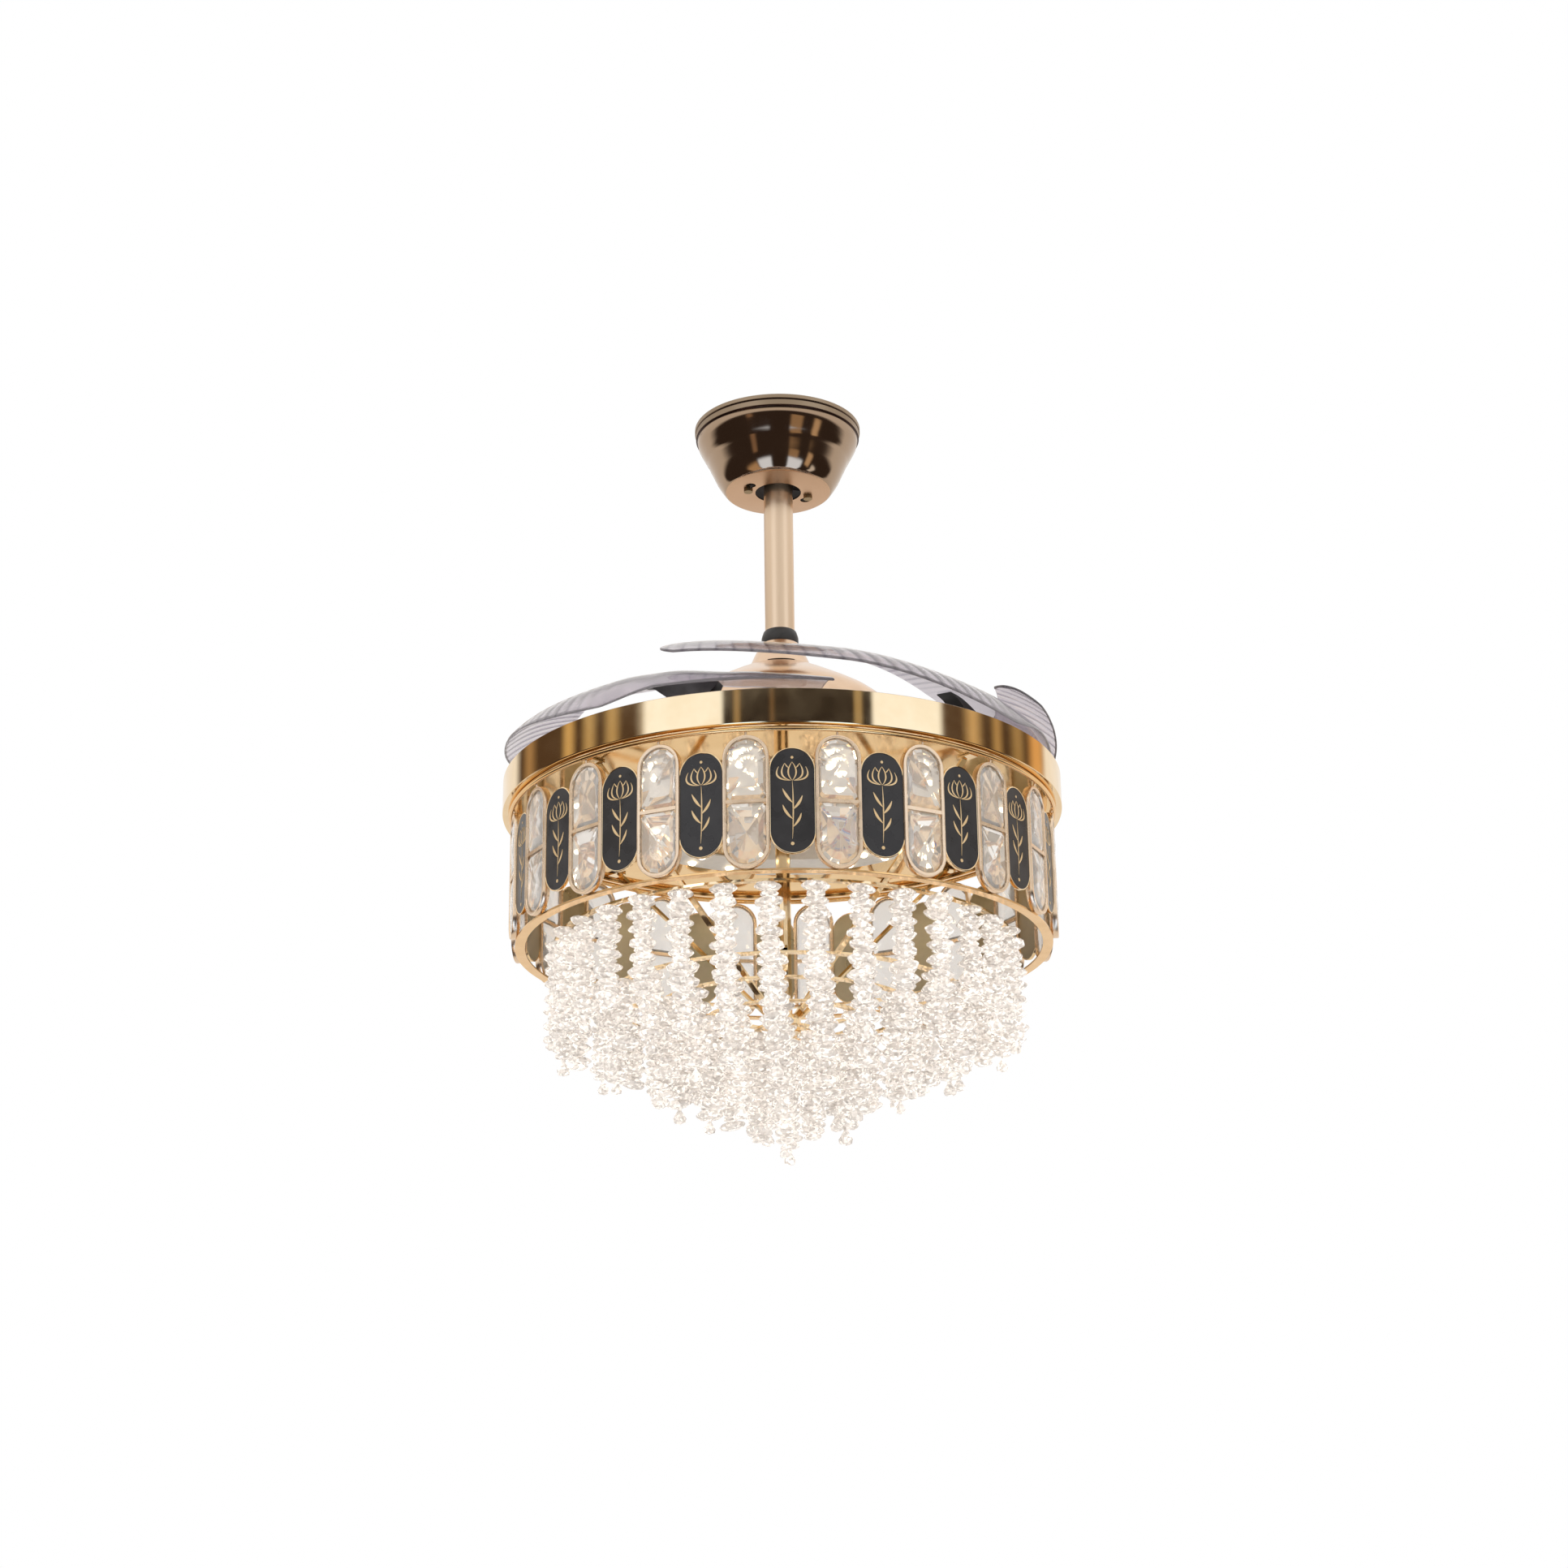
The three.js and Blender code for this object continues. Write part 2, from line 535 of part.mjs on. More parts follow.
// An arm with its hub, its gear sector and the pad that the blade's root is screwed to.
function bladeArm(cutter) {
  const pivotX = PIVOT_RADIUS * Math.cos(radians(PIVOT_ANGLE));
  const pivotY = PIVOT_RADIUS * Math.sin(radians(PIVOT_ANGLE));
  const atPivot = (geometry) => solid(geometry.translate(pivotX, pivotY, 0));
  const hub = atPivot(cylinder(12, GEAR_BOTTOM, ARM_TOP, 10));
  const inner = PIVOT_RADIUS - 12;
  const outer = PIVOT_RADIUS + 14;
  const plateShape = ringSector(inner, outer, ARM_REACH_ANGLE, PIVOT_ANGLE);
  const plate = solid(extruded(plateShape, ARM_TOP - 3, ARM_TOP));
  const padShape = ringSector(PIVOT_RADIUS - 4, outer - 1, ARM_REACH_ANGLE, PIVOT_ANGLE - 7);
  const pad = cut(solid(extruded(padShape, ARM_TOP - 1, COVER_RIM)), cutter);
  const stopAngle = ARM_REACH_ANGLE + 9; // the stop meets the plate of the next blade's arm
  const stop = box(12, 5, 14, PIVOT_RADIUS + 2, 0, ARM_TOP - 8).rotateZ(radians(stopAngle));
  const corners = [];
  const teeth = 7;
  for (let i = 0; i < teeth; i += 1) {
    corners.push(...toothCorners(SECTOR_TEETH, PIVOT_ANGLE + i * SECTOR_TOOTH_STEP, GEAR_MODULE * 0.9));
  }
  corners.push([20, PIVOT_ANGLE + 225], [20, PIVOT_ANGLE + 275], [20, PIVOT_ANGLE + 320]);
  const sector = atPivot(extruded(polarShape(corners), GEAR_BOTTOM, GEAR_BOTTOM + GEAR_THICKNESS));
  const bore = atPivot(cylinder(POST_RADIUS + 2 * GAP, GEAR_BOTTOM - 5, ARM_TOP + 5, 10));
  return cut(join(hub, plate, pad, sector, solid(stop)), bore);
}

part('blade_plate', bladePlate(), steel, rotor);
part('sync_gear', syncGear(), white, rotor);
const blade = bladeSheet(0, BLADE_THICKNESS);
const arm = bladeArm(bladeSheet(30, BLADE_THICKNESS + GAP));
for (let i = 0; i < BLADES; i += 1) {
  const place = group(rotor, FIRST_TIP_ANGLE + (i * 360) / BLADES);
  part(`blade_${i + 1}`, blade, smoke, place);
  part(`blade_arm_${i + 1}`, arm, black, place);
}

// ---- Light kit: tray with its band, nut, mirror plate, lamp board, driver and its wires ----
function lightTray() {
  const wall = TRAY_WALL;
  const r = TRAY_RADIUS;
  return turned([
    [SHAFT_RADIUS + 2 * GAP, TRAY_FLOOR], [TRAY_FLOOR_RADIUS, TRAY_FLOOR], [TRAY_FLOOR_RADIUS, TRAY_TOP],
    [r, TRAY_TOP], [r, TRAY_BOTTOM + 1], [r - 1, TRAY_BOTTOM], [TRAY_LIP_RADIUS, TRAY_BOTTOM],
    [TRAY_LIP_RADIUS, TRAY_BOTTOM + wall], [r - wall - 0.5, TRAY_BOTTOM + wall],
    [r - wall, TRAY_BOTTOM + wall + 0.5],
    [r - wall, TRAY_TOP - wall], [TRAY_FLOOR_RADIUS + wall, TRAY_TOP - wall],
    [TRAY_FLOOR_RADIUS + wall, TRAY_FLOOR - wall], [SHAFT_RADIUS + 2 * GAP, TRAY_FLOOR - wall],
  ], 32);
}

const INNER_PLATE_LOW = TRAY_BOTTOM + TRAY_WALL + GAP;
const BOARD_TOP = INNER_PLATE_LOW - GAP;
const BOARD_THICKNESS = 1.6;

function trayNut() {
  const low = TRAY_FLOOR - TRAY_WALL - GAP - 7;
  const nut = cylinder(22, low, low + 7, 6);
  return cut(solid(nut), solid(cylinder(SHAFT_RADIUS + 2 * GAP, low - 5, low + 12, 16)));
}

const DRIVER = { x: 12, y: 66, length: 76, width: 46, height: 25 };

function driverBox() {
  const top = BOARD_TOP;
  const body = box(DRIVER.length, DRIVER.width, DRIVER.height, DRIVER.x, DRIVER.y, top - DRIVER.height / 2);
  const shape = solid(body);
  const ear = box(DRIVER.length + 16, 10, 2, DRIVER.x, DRIVER.y, top - 1);
  return join(shape, solid(ear));
}

function driverLead() {
  const start = DRIVER.x + DRIVER.length / 2 + 2 * GAP;
  const z = BOARD_TOP - 12;
  const route = [
    [start, DRIVER.y, z], [start + 10, DRIVER.y, z], [start + 18, DRIVER.y - 26, z + 2],
    [start - 10, DRIVER.y - 42, z + 3], [start - 22, DRIVER.y - 50, z + 5], [22, 6, BOARD_TOP - 2 * GAP - 3],
  ];
  const path = new THREE.CatmullRomCurve3(route.map(([x, y, h]) => new THREE.Vector3(x, y, h)));
  const wire = new THREE.Shape();
  wire.absarc(0, 0, 1.6, 0, 2 * Math.PI, false);
  const options = { steps: 12, curveSegments: 3, extrudePath: path, bevelEnabled: false };
  return solid(new THREE.ExtrudeGeometry(wire, options));
}

part('light_tray', lightTray(), gold, light);
part('tray_nut', trayNut(), steel, light);
const innerPlate = tube(SHAFT_RADIUS + 4, TRAY_RADIUS - 5.5, 0, TRAY_WALL, 24);
part('inner_plate', innerPlate, gold, light).position.z = INNER_PLATE_LOW;
const BOARD_RADIUS = 0.552 * TRAY_RADIUS;
const lampBoard = tube(BOARD_RADIUS - 20, BOARD_RADIUS + 20, -BOARD_THICKNESS, 0, 24);
part('lamp_board', lampBoard, white, light).position.z = BOARD_TOP;
part('driver_box', driverBox(), white, light);
part('driver_lead', driverLead(), white, light);

// ---- Drum: upper wire ring, lower flat ring, gold frames with a bar across, black plates between them ----
function oblong(width, height) {
  const arcSteps = 3;
  const r = width / 2;
  const corners = [];
  for (const end of [0, 1]) {
    const centre = (1 - 2 * end) * (height / 2 - r * Math.sin(Math.PI / arcSteps));
    for (let i = 0; i <= arcSteps; i += 1) {
      const at = Math.PI * (end + i / arcSteps);
      corners.push(new THREE.Vector2(r * Math.cos(at), centre + r * Math.sin(at)));
    }
  }
  return new THREE.Shape(corners);
}

// Stands a flat outline up, facing out, at its place in the drum. Its depth runs out from the given radius.
function inDrum(shape, depth, radius, angle, middle) {
  const geometry = extruded(shape, 0, depth).rotateX(Math.PI / 2).rotateZ(Math.PI / 2);
  return solid(geometry.translate(radius, 0, middle).rotateZ(radians(angle)));
}

const FRAME_MIDDLE = (FRAME_TOP + FRAME_BOTTOM) / 2;
const FRAME_HEIGHT = FRAME_TOP - FRAME_BOTTOM;
const FRAME_BACK = FRAME_PITCH_RADIUS - FRAME_DEPTH / 2;

function drumFrame() {
  const w = UPPER_RING_WIRE;
  const z = UPPER_RING_Z;
  const r = UPPER_RING_RADIUS;
  // Both rings' corners lie between the frames.
  const corners = [0, 0, FIRST_PLATE_ANGLE + FRAME_STEP / 4 - FRONT];
  const upper = turned([[r - w, z], [r, z - w], [r + w, z], [r, z + w]], 2 * FRAMES).rotate(corners);
  const lower = tube(LOWER_RING_INNER, LOWER_RING_OUTER, LOWER_RING_BOTTOM, LOWER_RING_TOP, 2 * FRAMES)
    .rotate(corners);
  const frameShape = oblong(FRAME_WIDTH, FRAME_HEIGHT);
  frameShape.holes.push(oblong(FRAME_WIDTH - 2 * FRAME_WALL, FRAME_HEIGHT - 2 * FRAME_WALL));
  const plateShape = oblong(BLACK_PLATE_WIDTH, BLACK_PLATE_HEIGHT);
  const pieces = [];
  for (let i = 0; i < FRAMES; i += 1) {
    const plateAngle = FIRST_PLATE_ANGLE + i * FRAME_STEP;
    const frameAngle = plateAngle + FRAME_STEP / 2;
    pieces.push(inDrum(frameShape, FRAME_DEPTH, FRAME_BACK, frameAngle, FRAME_MIDDLE));
    const pinHeight = UPPER_RING_Z - FRAME_TOP + 1;
    const pinRadius = (FRAME_PITCH_RADIUS + UPPER_RING_RADIUS) / 2;
    const pin = box(2.4, 2.4, pinHeight, pinRadius, 0, UPPER_RING_Z - pinHeight / 2);
    pieces.push(solid(pin.rotateZ(radians(frameAngle))));
    const plateBack = FRAME_PITCH_RADIUS - BLACK_PLATE_THICKNESS / 2;
    pieces.push(inDrum(plateShape, BLACK_PLATE_THICKNESS, plateBack, plateAngle, FRAME_MIDDLE));
  }
  return join(upper, lower, ...pieces);
}

function crystal() {
  const room = 2 * (FRAME_WALL + GAP + 0.1);
  const shape = oblong(FRAME_WIDTH - room, FRAME_HEIGHT - room);
  return inDrum(shape, 6, FRAME_BACK + 0.5, 0, FRAME_MIDDLE);
}

part('drum_frame', drumFrame(), gold, light);
for (let i = 0; i < FRAMES; i += 1) {
  const place = group(light, FIRST_PLATE_ANGLE + (i + 0.5) * FRAME_STEP);
  part(`crystal_${String(i + 1).padStart(2, '0')}`, crystal(), crystalGlass, place);
}

// ---- Strand tiers: the outermost rests on the drum's lower ring, the others hang under the tier frame ----
// Depth of the strand ends below the ceiling at a distance from the axis: the hanging cone.
const strandEnd = (radius) => CONE_TIP + CONE_RISE * radius - (CONE_BOW * radius ** 2) / TIER_RADII[0];
const tierTop = (radius) => (radius === TIER_RADII[0] ? OUTER_TIER_TOP : INNER_TIERS_LOW + 0.2 * radius);

function strand(radius, angle) {
  const top = tierTop(radius) - TIER_RING_THICKNESS / 2;
  const low = strandEnd(radius) + STRAND_POINT;
  const corner = STRAND_HALF_WIDTH * Math.SQRT2;
  const profile = [[0, low - STRAND_POINT], [corner, low], [corner, top - STRAND_SHOULDER], [0, top]];
  return turned(profile, 4).rotate([0, 0, 45]).translate([radius, 0, 0]).rotate([0, 0, angle]);
}

const FIRST_STRAND_ANGLE = FRONT - 3.2;

function strandRing(tier) {
  const radius = TIER_RADII[tier];
  const count = TIER_STRANDS[tier];
  const top = tierTop(radius);
  const half = TIER_RING_HALF_WIDTH;
  const sides = count * Math.ceil(12 / count); // each strand hangs from the middle of a side
  const corner = radius / Math.cos(Math.PI / sides);
  const ring = tube(corner - half, corner + half, top - TIER_RING_THICKNESS, top, sides)
    .rotate([0, 0, FIRST_STRAND_ANGLE - FRONT + 180 / sides]);
  const strands = [];
  for (let i = 0; i < count; i += 1) strands.push(strand(radius, FIRST_STRAND_ANGLE + (i * 360) / count));
  return join(ring, ...strands);
}

// The outermost ring's eight tabs lie on the lower ring of the drum.
function outerTier() {
  const tabs = [];
  const from = TIER_RADII[0];
  const to = LOWER_RING_INNER + 5;
  const z = OUTER_TIER_TOP - TIER_RING_THICKNESS / 2;
  for (let i = 0; i < 8; i += 1) {
    const tab = box(to - from, 6, TIER_RING_THICKNESS, (from + to) / 2, 0, z);
    tabs.push(solid(tab.rotateZ(radians(22.5 + i * 45))));
  }
  return join(strandRing(0), ...tabs);
}

part('strand_tier_1', outerTier(), crystalGlass, light);
for (let tier = 1; tier < TIER_RADII.length; tier += 1) {
  part(`strand_tier_${tier + 1}`, strandRing(tier), crystalGlass, light);
}

// ---- Tier frame: a hub on the centre rod, four arms over the rings and four stays up to the tray ----
function bar(from, to, width, thickness) {
  const length = from.distanceTo(to);
  const middle = from.clone().add(to).multiplyScalar(0.5);
  const geometry = new THREE.BoxGeometry(length, width, thickness);
  geometry.rotateY(-Math.atan2(to.z - from.z, to.x - from.x));
  return geometry.translate(middle.x, middle.y, middle.z);
}

function tierFrame() {
  const hub = tube(CENTRE_ROD_RADIUS + 2 * GAP, 14, HUB_BOTTOM, HUB_TOP + 8, 16);
  const armOver = 2.2; // the rings' tops are just under the sloping arms
  const armPoint = (x) => new THREE.Vector3(x, 0, tierTop(x) + armOver);
  const armFrom = armPoint(10);
  const armTo = armPoint(TIER_RADII[1] + 4);
  const stayFrom = new THREE.Vector3(9, 0, HUB_TOP + 2);
  const stayTo = new THREE.Vector3(TRAY_RADIUS - 31, 0, BOARD_TOP - 1.5);
  const pieces = [];
  for (let i = 0; i < 4; i += 1) {
    pieces.push(solid(bar(armFrom, armTo, 6, 2.5).rotateZ(radians(i * 90))));
    pieces.push(solid(bar(stayFrom, stayTo, 6, 2).rotateZ(radians(45 + i * 90))));
    const foot = box(14, 10, 1.5, stayTo.x + 4, 0, BOARD_TOP - 0.75);
    pieces.push(solid(foot.rotateZ(radians(45 + i * 90))));
  }
  const bore = solid(cylinder(CENTRE_ROD_RADIUS + 2 * GAP, HUB_BOTTOM - 10, HUB_TOP + 20, 16));
  const ceiling = solid(box(600, 600, 20, 0, 0, BOARD_TOP + 10));
  return cut(join(hub, ...pieces), bore, ceiling);
}

function centreRod() {
  const nutTop = HUB_BOTTOM - GAP;
  const nutLow = nutTop - 4;
  const rod = cylinder(CENTRE_ROD_RADIUS, nutLow, SHAFT_BOTTOM + 12, 12);
  const nut = cylinder(9, nutLow, nutTop, 6);
  return join(solid(rod), solid(nut));
}

part('tier_frame', tierFrame(), gold, light);
part('centre_rod', centreRod(), gold, light);

export default fan;
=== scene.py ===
"""A ceiling fan whose clear blades fold over a round crystal light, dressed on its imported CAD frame.

Metres, with the ceiling at height 0, +Z up and -Y as the front. Sizes in the tables are in millimetres.
"""

from math import radians

import bmesh
import bpy
import numpy as np
from mathutils import Matrix


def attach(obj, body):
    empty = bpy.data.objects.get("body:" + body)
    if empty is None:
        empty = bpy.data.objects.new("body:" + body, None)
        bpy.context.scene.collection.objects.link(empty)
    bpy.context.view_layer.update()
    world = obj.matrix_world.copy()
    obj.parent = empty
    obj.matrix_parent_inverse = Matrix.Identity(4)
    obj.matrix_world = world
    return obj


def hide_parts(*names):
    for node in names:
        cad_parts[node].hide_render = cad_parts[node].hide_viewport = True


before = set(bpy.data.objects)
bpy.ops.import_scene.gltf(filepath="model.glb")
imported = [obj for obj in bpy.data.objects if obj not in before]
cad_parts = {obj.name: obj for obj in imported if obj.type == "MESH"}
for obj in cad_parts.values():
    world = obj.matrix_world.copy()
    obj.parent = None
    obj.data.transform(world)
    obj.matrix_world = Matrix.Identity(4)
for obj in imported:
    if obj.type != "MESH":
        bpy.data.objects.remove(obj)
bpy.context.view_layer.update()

# ---- Viewpoint ----
# The fan is seen from a person's standing height, 2.5 m in front of it and looking up.
# Its axis leans a little to the left in the picture, so the camera is rolled by that much.
EYE = (0.0019, -2.4571, -1.2176)
EYE_RISE = 19.399
EYE_ROLL = -0.756

lens = bpy.data.cameras.new("eye")
lens.lens = 66.38
lens.sensor_width = 36
lens.clip_end = 50
eye = bpy.data.objects.new("eye", lens)
bpy.context.scene.collection.objects.link(eye)
eye.matrix_world = (
    Matrix.Translation(EYE)
    @ Matrix.Rotation(radians(90 + EYE_RISE), 4, "X")
    @ Matrix.Rotation(radians(EYE_ROLL), 4, "Z")
)
bpy.context.scene.camera = eye
bpy.context.scene.view_settings.view_transform = "Standard"

# ---- Studio ----
# A white room for the eye. Polished metal also sees a dark doorway in front, bright windows beside it and a dark
# carpet below, each given by its direction from the fan: compass bearing from the front and height, in degrees.
WINDOWS = [
    # bearing, half its width, height, half its height, softness, colour
    (100, 34, 19.5, 2.7, 5, (0.085, 0.050, 0.028)),
    (-97, 40, 19.5, 2.7, 5, (0.085, 0.050, 0.028)),
    (-39.5, 17, 19.5, 2.7, 2, (1.10, 1.16, 1.28)),
    (52, 15.5, 19.5, 2.7, 2, (1.10, 1.16, 1.28)),
    (6.8, 30, 19.5, 2.7, 1.2, (0.020, 0.013, 0.009)),
    (-17.5, 1.2, 19.5, 2.7, 1, (0.34, 0.24, 0.12)),
    (-3.5, 0.9, 20.5, 1.0, 1, (0.16, 0.10, 0.05)),
    (31, 1.6, 19.5, 2.7, 1, (0.40, 0.30, 0.16)),
    (84, 3.5, 19.5, 2.7, 4, (0.60, 0.42, 0.22)),
    (98, 2.5, 19.5, 2.7, 3, (0.45, 0.30, 0.14)),
    (112, 4, 19.5, 2.7, 4, (0.36, 0.24, 0.11)),
    (128, 6, 19.5, 2.7, 5, (0.75, 0.42, 0.16)),
    (-72, 3, 19.5, 2.7, 3, (0.50, 0.36, 0.18)),
    (-84, 3, 19.5, 2.7, 3, (0.50, 0.36, 0.18)),
    (-96, 3, 19.5, 2.7, 3, (0.62, 0.42, 0.18)),
    (-125, 4, 19.5, 2.7, 5, (0.40, 0.25, 0.12)),
    (0, 3, 24, 1.7, 2, (0.62, 0.50, 0.38)),
    (-158, 24, 24, 1.7, 8, (0.42, 0.32, 0.26)),
    (165, 12, 24, 1.7, 6, (0.60, 0.50, 0.42)),
    (-4, 121, -50, 43, 4, (0.055, 0.038, 0.030)),
    (-27, 14, -60, 28, 3, (1.35, 1.70, 2.25)),
    (-56, 13, -54, 20, 4, (0.80, 0.55, 0.32)),
    (36, 15, -60, 29, 3, (1.35, 1.70, 2.25)),
    (30, 9, -26, 5, 3, (0.55, 0.38, 0.22)),
    (62, 5, -26, 8, 3, (0.90, 0.66, 0.42)),
    (78, 5, -36, 8, 3, (1.10, 1.10, 1.10)),
    (-40, 4, -16, 6, 3, (0.40, 0.26, 0.16)),
]


def wire(tree, node, *inputs):
    """Links or writes a node's inputs in order."""
    for socket, value in zip(node.inputs, inputs):
        if isinstance(value, bpy.types.NodeSocket):
            tree.links.new(value, socket)
        elif value is not None:
            socket.default_value = value
    return node


def sum_of(tree, operation, *inputs):
    """The output of one Math node."""
    node = tree.nodes.new("ShaderNodeMath")
    node.operation = operation
    return wire(tree, node, *inputs).outputs[0]


def fade(tree, value, start, end):
    """0 before start, 1 after end and smooth between them."""
    node = tree.nodes.new("ShaderNodeMapRange")
    node.interpolation_type = "SMOOTHSTEP"
    return wire(tree, node, value, start, end, 0.0, 1.0).outputs[0]


def blend_colours(tree, share, first, second):
    """The first colour where share is 0 and the second where it is 1."""
    node = tree.nodes.new("ShaderNodeMix")
    node.data_type = "RGBA"
    for socket, value in ((node.inputs[0], share), (node.inputs[6], first), (node.inputs[7], second)):
        if isinstance(value, bpy.types.NodeSocket):
            tree.links.new(value, socket)
        else:
            socket.default_value = (*value, 1) if isinstance(value, tuple) else value
    return node.outputs[2]


room = bpy.data.worlds.new("white_room")
bpy.context.scene.world = room
room.use_nodes = True
sky = room.node_tree
background = sky.nodes["Background"]
looking = sky.nodes.new("ShaderNodeSeparateXYZ")
sky.links.new(sky.nodes.new("ShaderNodeTexCoord").outputs["Generated"], looking.inputs[0])
ahead = sum_of(sky, "MULTIPLY", looking.outputs[1], -1.0)
bearing = sum_of(sky, "ARCTAN2", looking.outputs[0], ahead)
rise = sum_of(sky, "ARCSINE", looking.outputs[2])
plain = blend_colours(sky, fade(sky, rise, radians(-60), radians(50)), (0.78, 0.70, 0.62), (0.98, 0.95, 0.92))
seen = plain
for turn, half_turn, height, half_height, softness, colour in WINDOWS:
    aside = sum_of(sky, "ABSOLUTE", sum_of(sky, "SUBTRACT", bearing, radians(turn)))
    above = sum_of(sky, "ABSOLUTE", sum_of(sky, "SUBTRACT", rise, radians(height)))
    soft, soft_up = radians(softness), radians(min(softness, half_height / 4))
    inside_width = fade(sky, aside, radians(half_turn) + soft, radians(half_turn) - soft)
    inside_height = fade(sky, above, radians(half_height) + soft_up, radians(half_height) - soft_up)
    seen = blend_colours(sky, sum_of(sky, "MULTIPLY", inside_width, inside_height), seen, colour)
rays = sky.nodes.new("ShaderNodeLightPath")
through = rays.outputs["Is Transmission Ray"]
mirrored = sum_of(sky, "SUBTRACT", rays.outputs["Is Glossy Ray"], sum_of(sky, "MULTIPLY", through, 0.65))
shown = blend_colours(sky, mirrored, plain, seen)
white_share = sum_of(sky, "MAXIMUM", rays.outputs["Is Camera Ray"], sum_of(sky, "MULTIPLY", through, 0.6))
sky.links.new(blend_colours(sky, white_share, shown, (1.0, 1.0, 1.0)), background.inputs[0])


def soft_light(name, place, aim, size, power, colour):
    """A square lamp at a place, turned to shine at a point."""
    lamp = bpy.data.lights.new(name, "AREA")
    lamp.size = size
    lamp.energy = power
    lamp.color = colour
    holder = bpy.data.objects.new(name, lamp)
    bpy.context.scene.collection.objects.link(holder)
    away = Matrix.Translation(place).to_translation() - Matrix.Translation(aim).to_translation()
    holder.matrix_world = Matrix.Translation(place) @ away.to_track_quat("Z", "Y").to_matrix().to_4x4()
    holder.visible_camera = False
    holder.visible_glossy = False


soft_light("key", (-1.6, -1.8, 0.4), (0, 0, -0.45), 1.4, 22, (1.0, 0.97, 0.93))
soft_light("fill", (1.9, -1.2, -1.0), (0, 0, -0.45), 1.6, 12, (1.0, 0.98, 0.96))

floor_mesh = bpy.data.meshes.new("floor")
floor_mesh.from_pydata([(-6, -6, -2.6), (6, -6, -2.6), (6, 6, -2.6), (-6, 6, -2.6)], [], [(0, 1, 2, 3)])
floor = bpy.data.objects.new("floor", floor_mesh)
bpy.context.scene.collection.objects.link(floor)
pale = bpy.data.materials.new("pale_floor")
pale.use_nodes = True
pale.node_tree.nodes["Principled BSDF"].inputs["Base Color"].default_value = (0.86, 0.85, 0.84, 1)
pale.node_tree.nodes["Principled BSDF"].inputs["Roughness"].default_value = 0.9
floor_mesh.materials.append(pale)
floor.visible_glossy = False
floor.visible_transmission = False

# ---- Ceiling bracket, hanger ball and pins ----
# A folded zinc-plated strap is screwed to the ceiling, and a black moulded ball on the rod's end sits in it.
# They are the CAD's own pieces with their real surfaces.
STEEL_NODES = ("mounting_bracket", "ball_pin", "coupling_pin", "tray_nut")


def material(name, **sockets):
    """A new material, with the shader's own sockets set; an underscore in a name stands for a space."""
    made = bpy.data.materials.new(name)
    made.use_nodes = True
    shader = made.node_tree.nodes["Principled BSDF"]
    for key, value in sockets.items():
        shader.inputs[key.replace("_", " ")].default_value = (*value, 1) if isinstance(value, tuple) else value
    return made


def noise(tree, scale, detail=3.0, stretch=(1, 1, 1)):
    """A cloudy value from 0 to 1 over the piece's own coordinates, stretched along the axes."""
    place = tree.nodes.new("ShaderNodeMapping")
    place.inputs["Scale"].default_value = stretch
    tree.links.new(tree.nodes.new("ShaderNodeTexCoord").outputs["Object"], place.inputs[0])
    cloud = tree.nodes.new("ShaderNodeTexNoise")
    tree.links.new(place.outputs[0], cloud.inputs["Vector"])
    cloud.inputs["Scale"].default_value = scale
    cloud.inputs["Detail"].default_value = detail
    return cloud.outputs[0]


def vary(made, scale, roughness=None, colours=None, bump=0.0, stretch=(1, 1, 1)):
    """Gives a material a worn, grained or brushed surface: roughness, colour and bump follow one noise."""
    tree = made.node_tree
    shader = tree.nodes["Principled BSDF"]
    cloud = noise(tree, scale, stretch=stretch)
    if roughness:
        spread = tree.nodes.new("ShaderNodeMapRange")
        wire(tree, spread, cloud, 0.3, 0.7, *roughness)
        tree.links.new(spread.outputs[0], shader.inputs["Roughness"])
    if colours:
        share = fade(tree, cloud, 0.3, 0.7)
        tree.links.new(blend_colours(tree, share, *colours), shader.inputs["Base Color"])
    if bump:
        relief = tree.nodes.new("ShaderNodeBump")
        relief.inputs["Strength"].default_value = bump
        relief.inputs["Distance"].default_value = 0.0002
        tree.links.new(cloud, relief.inputs["Height"])
        tree.links.new(relief.outputs[0], shader.inputs["Normal"])
    return made


def dress(finish, *nodes):
    """The CAD's own solids keep their shape and get this finish."""
    for node in nodes:
        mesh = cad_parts[node].data
        mesh.materials.clear()
        mesh.materials.append(finish)


zinc = vary(
    material("brushed_zinc", Metallic=1.0), 60, (0.28, 0.42), ((0.50, 0.50, 0.52), (0.62, 0.62, 0.63)), 0.1, (1, 1, 8)
)
black_moulding = vary(
    material("black_moulding", Roughness=0.4), 220, (0.36, 0.5), ((0.012, 0.012, 0.013), (0.022, 0.021, 0.021)), 0.15
)
dark_brass = vary(material("dark_brass", Metallic=1.0), 90, (0.3, 0.45), ((0.30, 0.22, 0.12), (0.42, 0.31, 0.17)), 0.1)
dress(zinc, *STEEL_NODES)
dress(dark_brass, "canopy_screw_1", "canopy_screw_2")
dress(black_moulding, "hanger_ball")

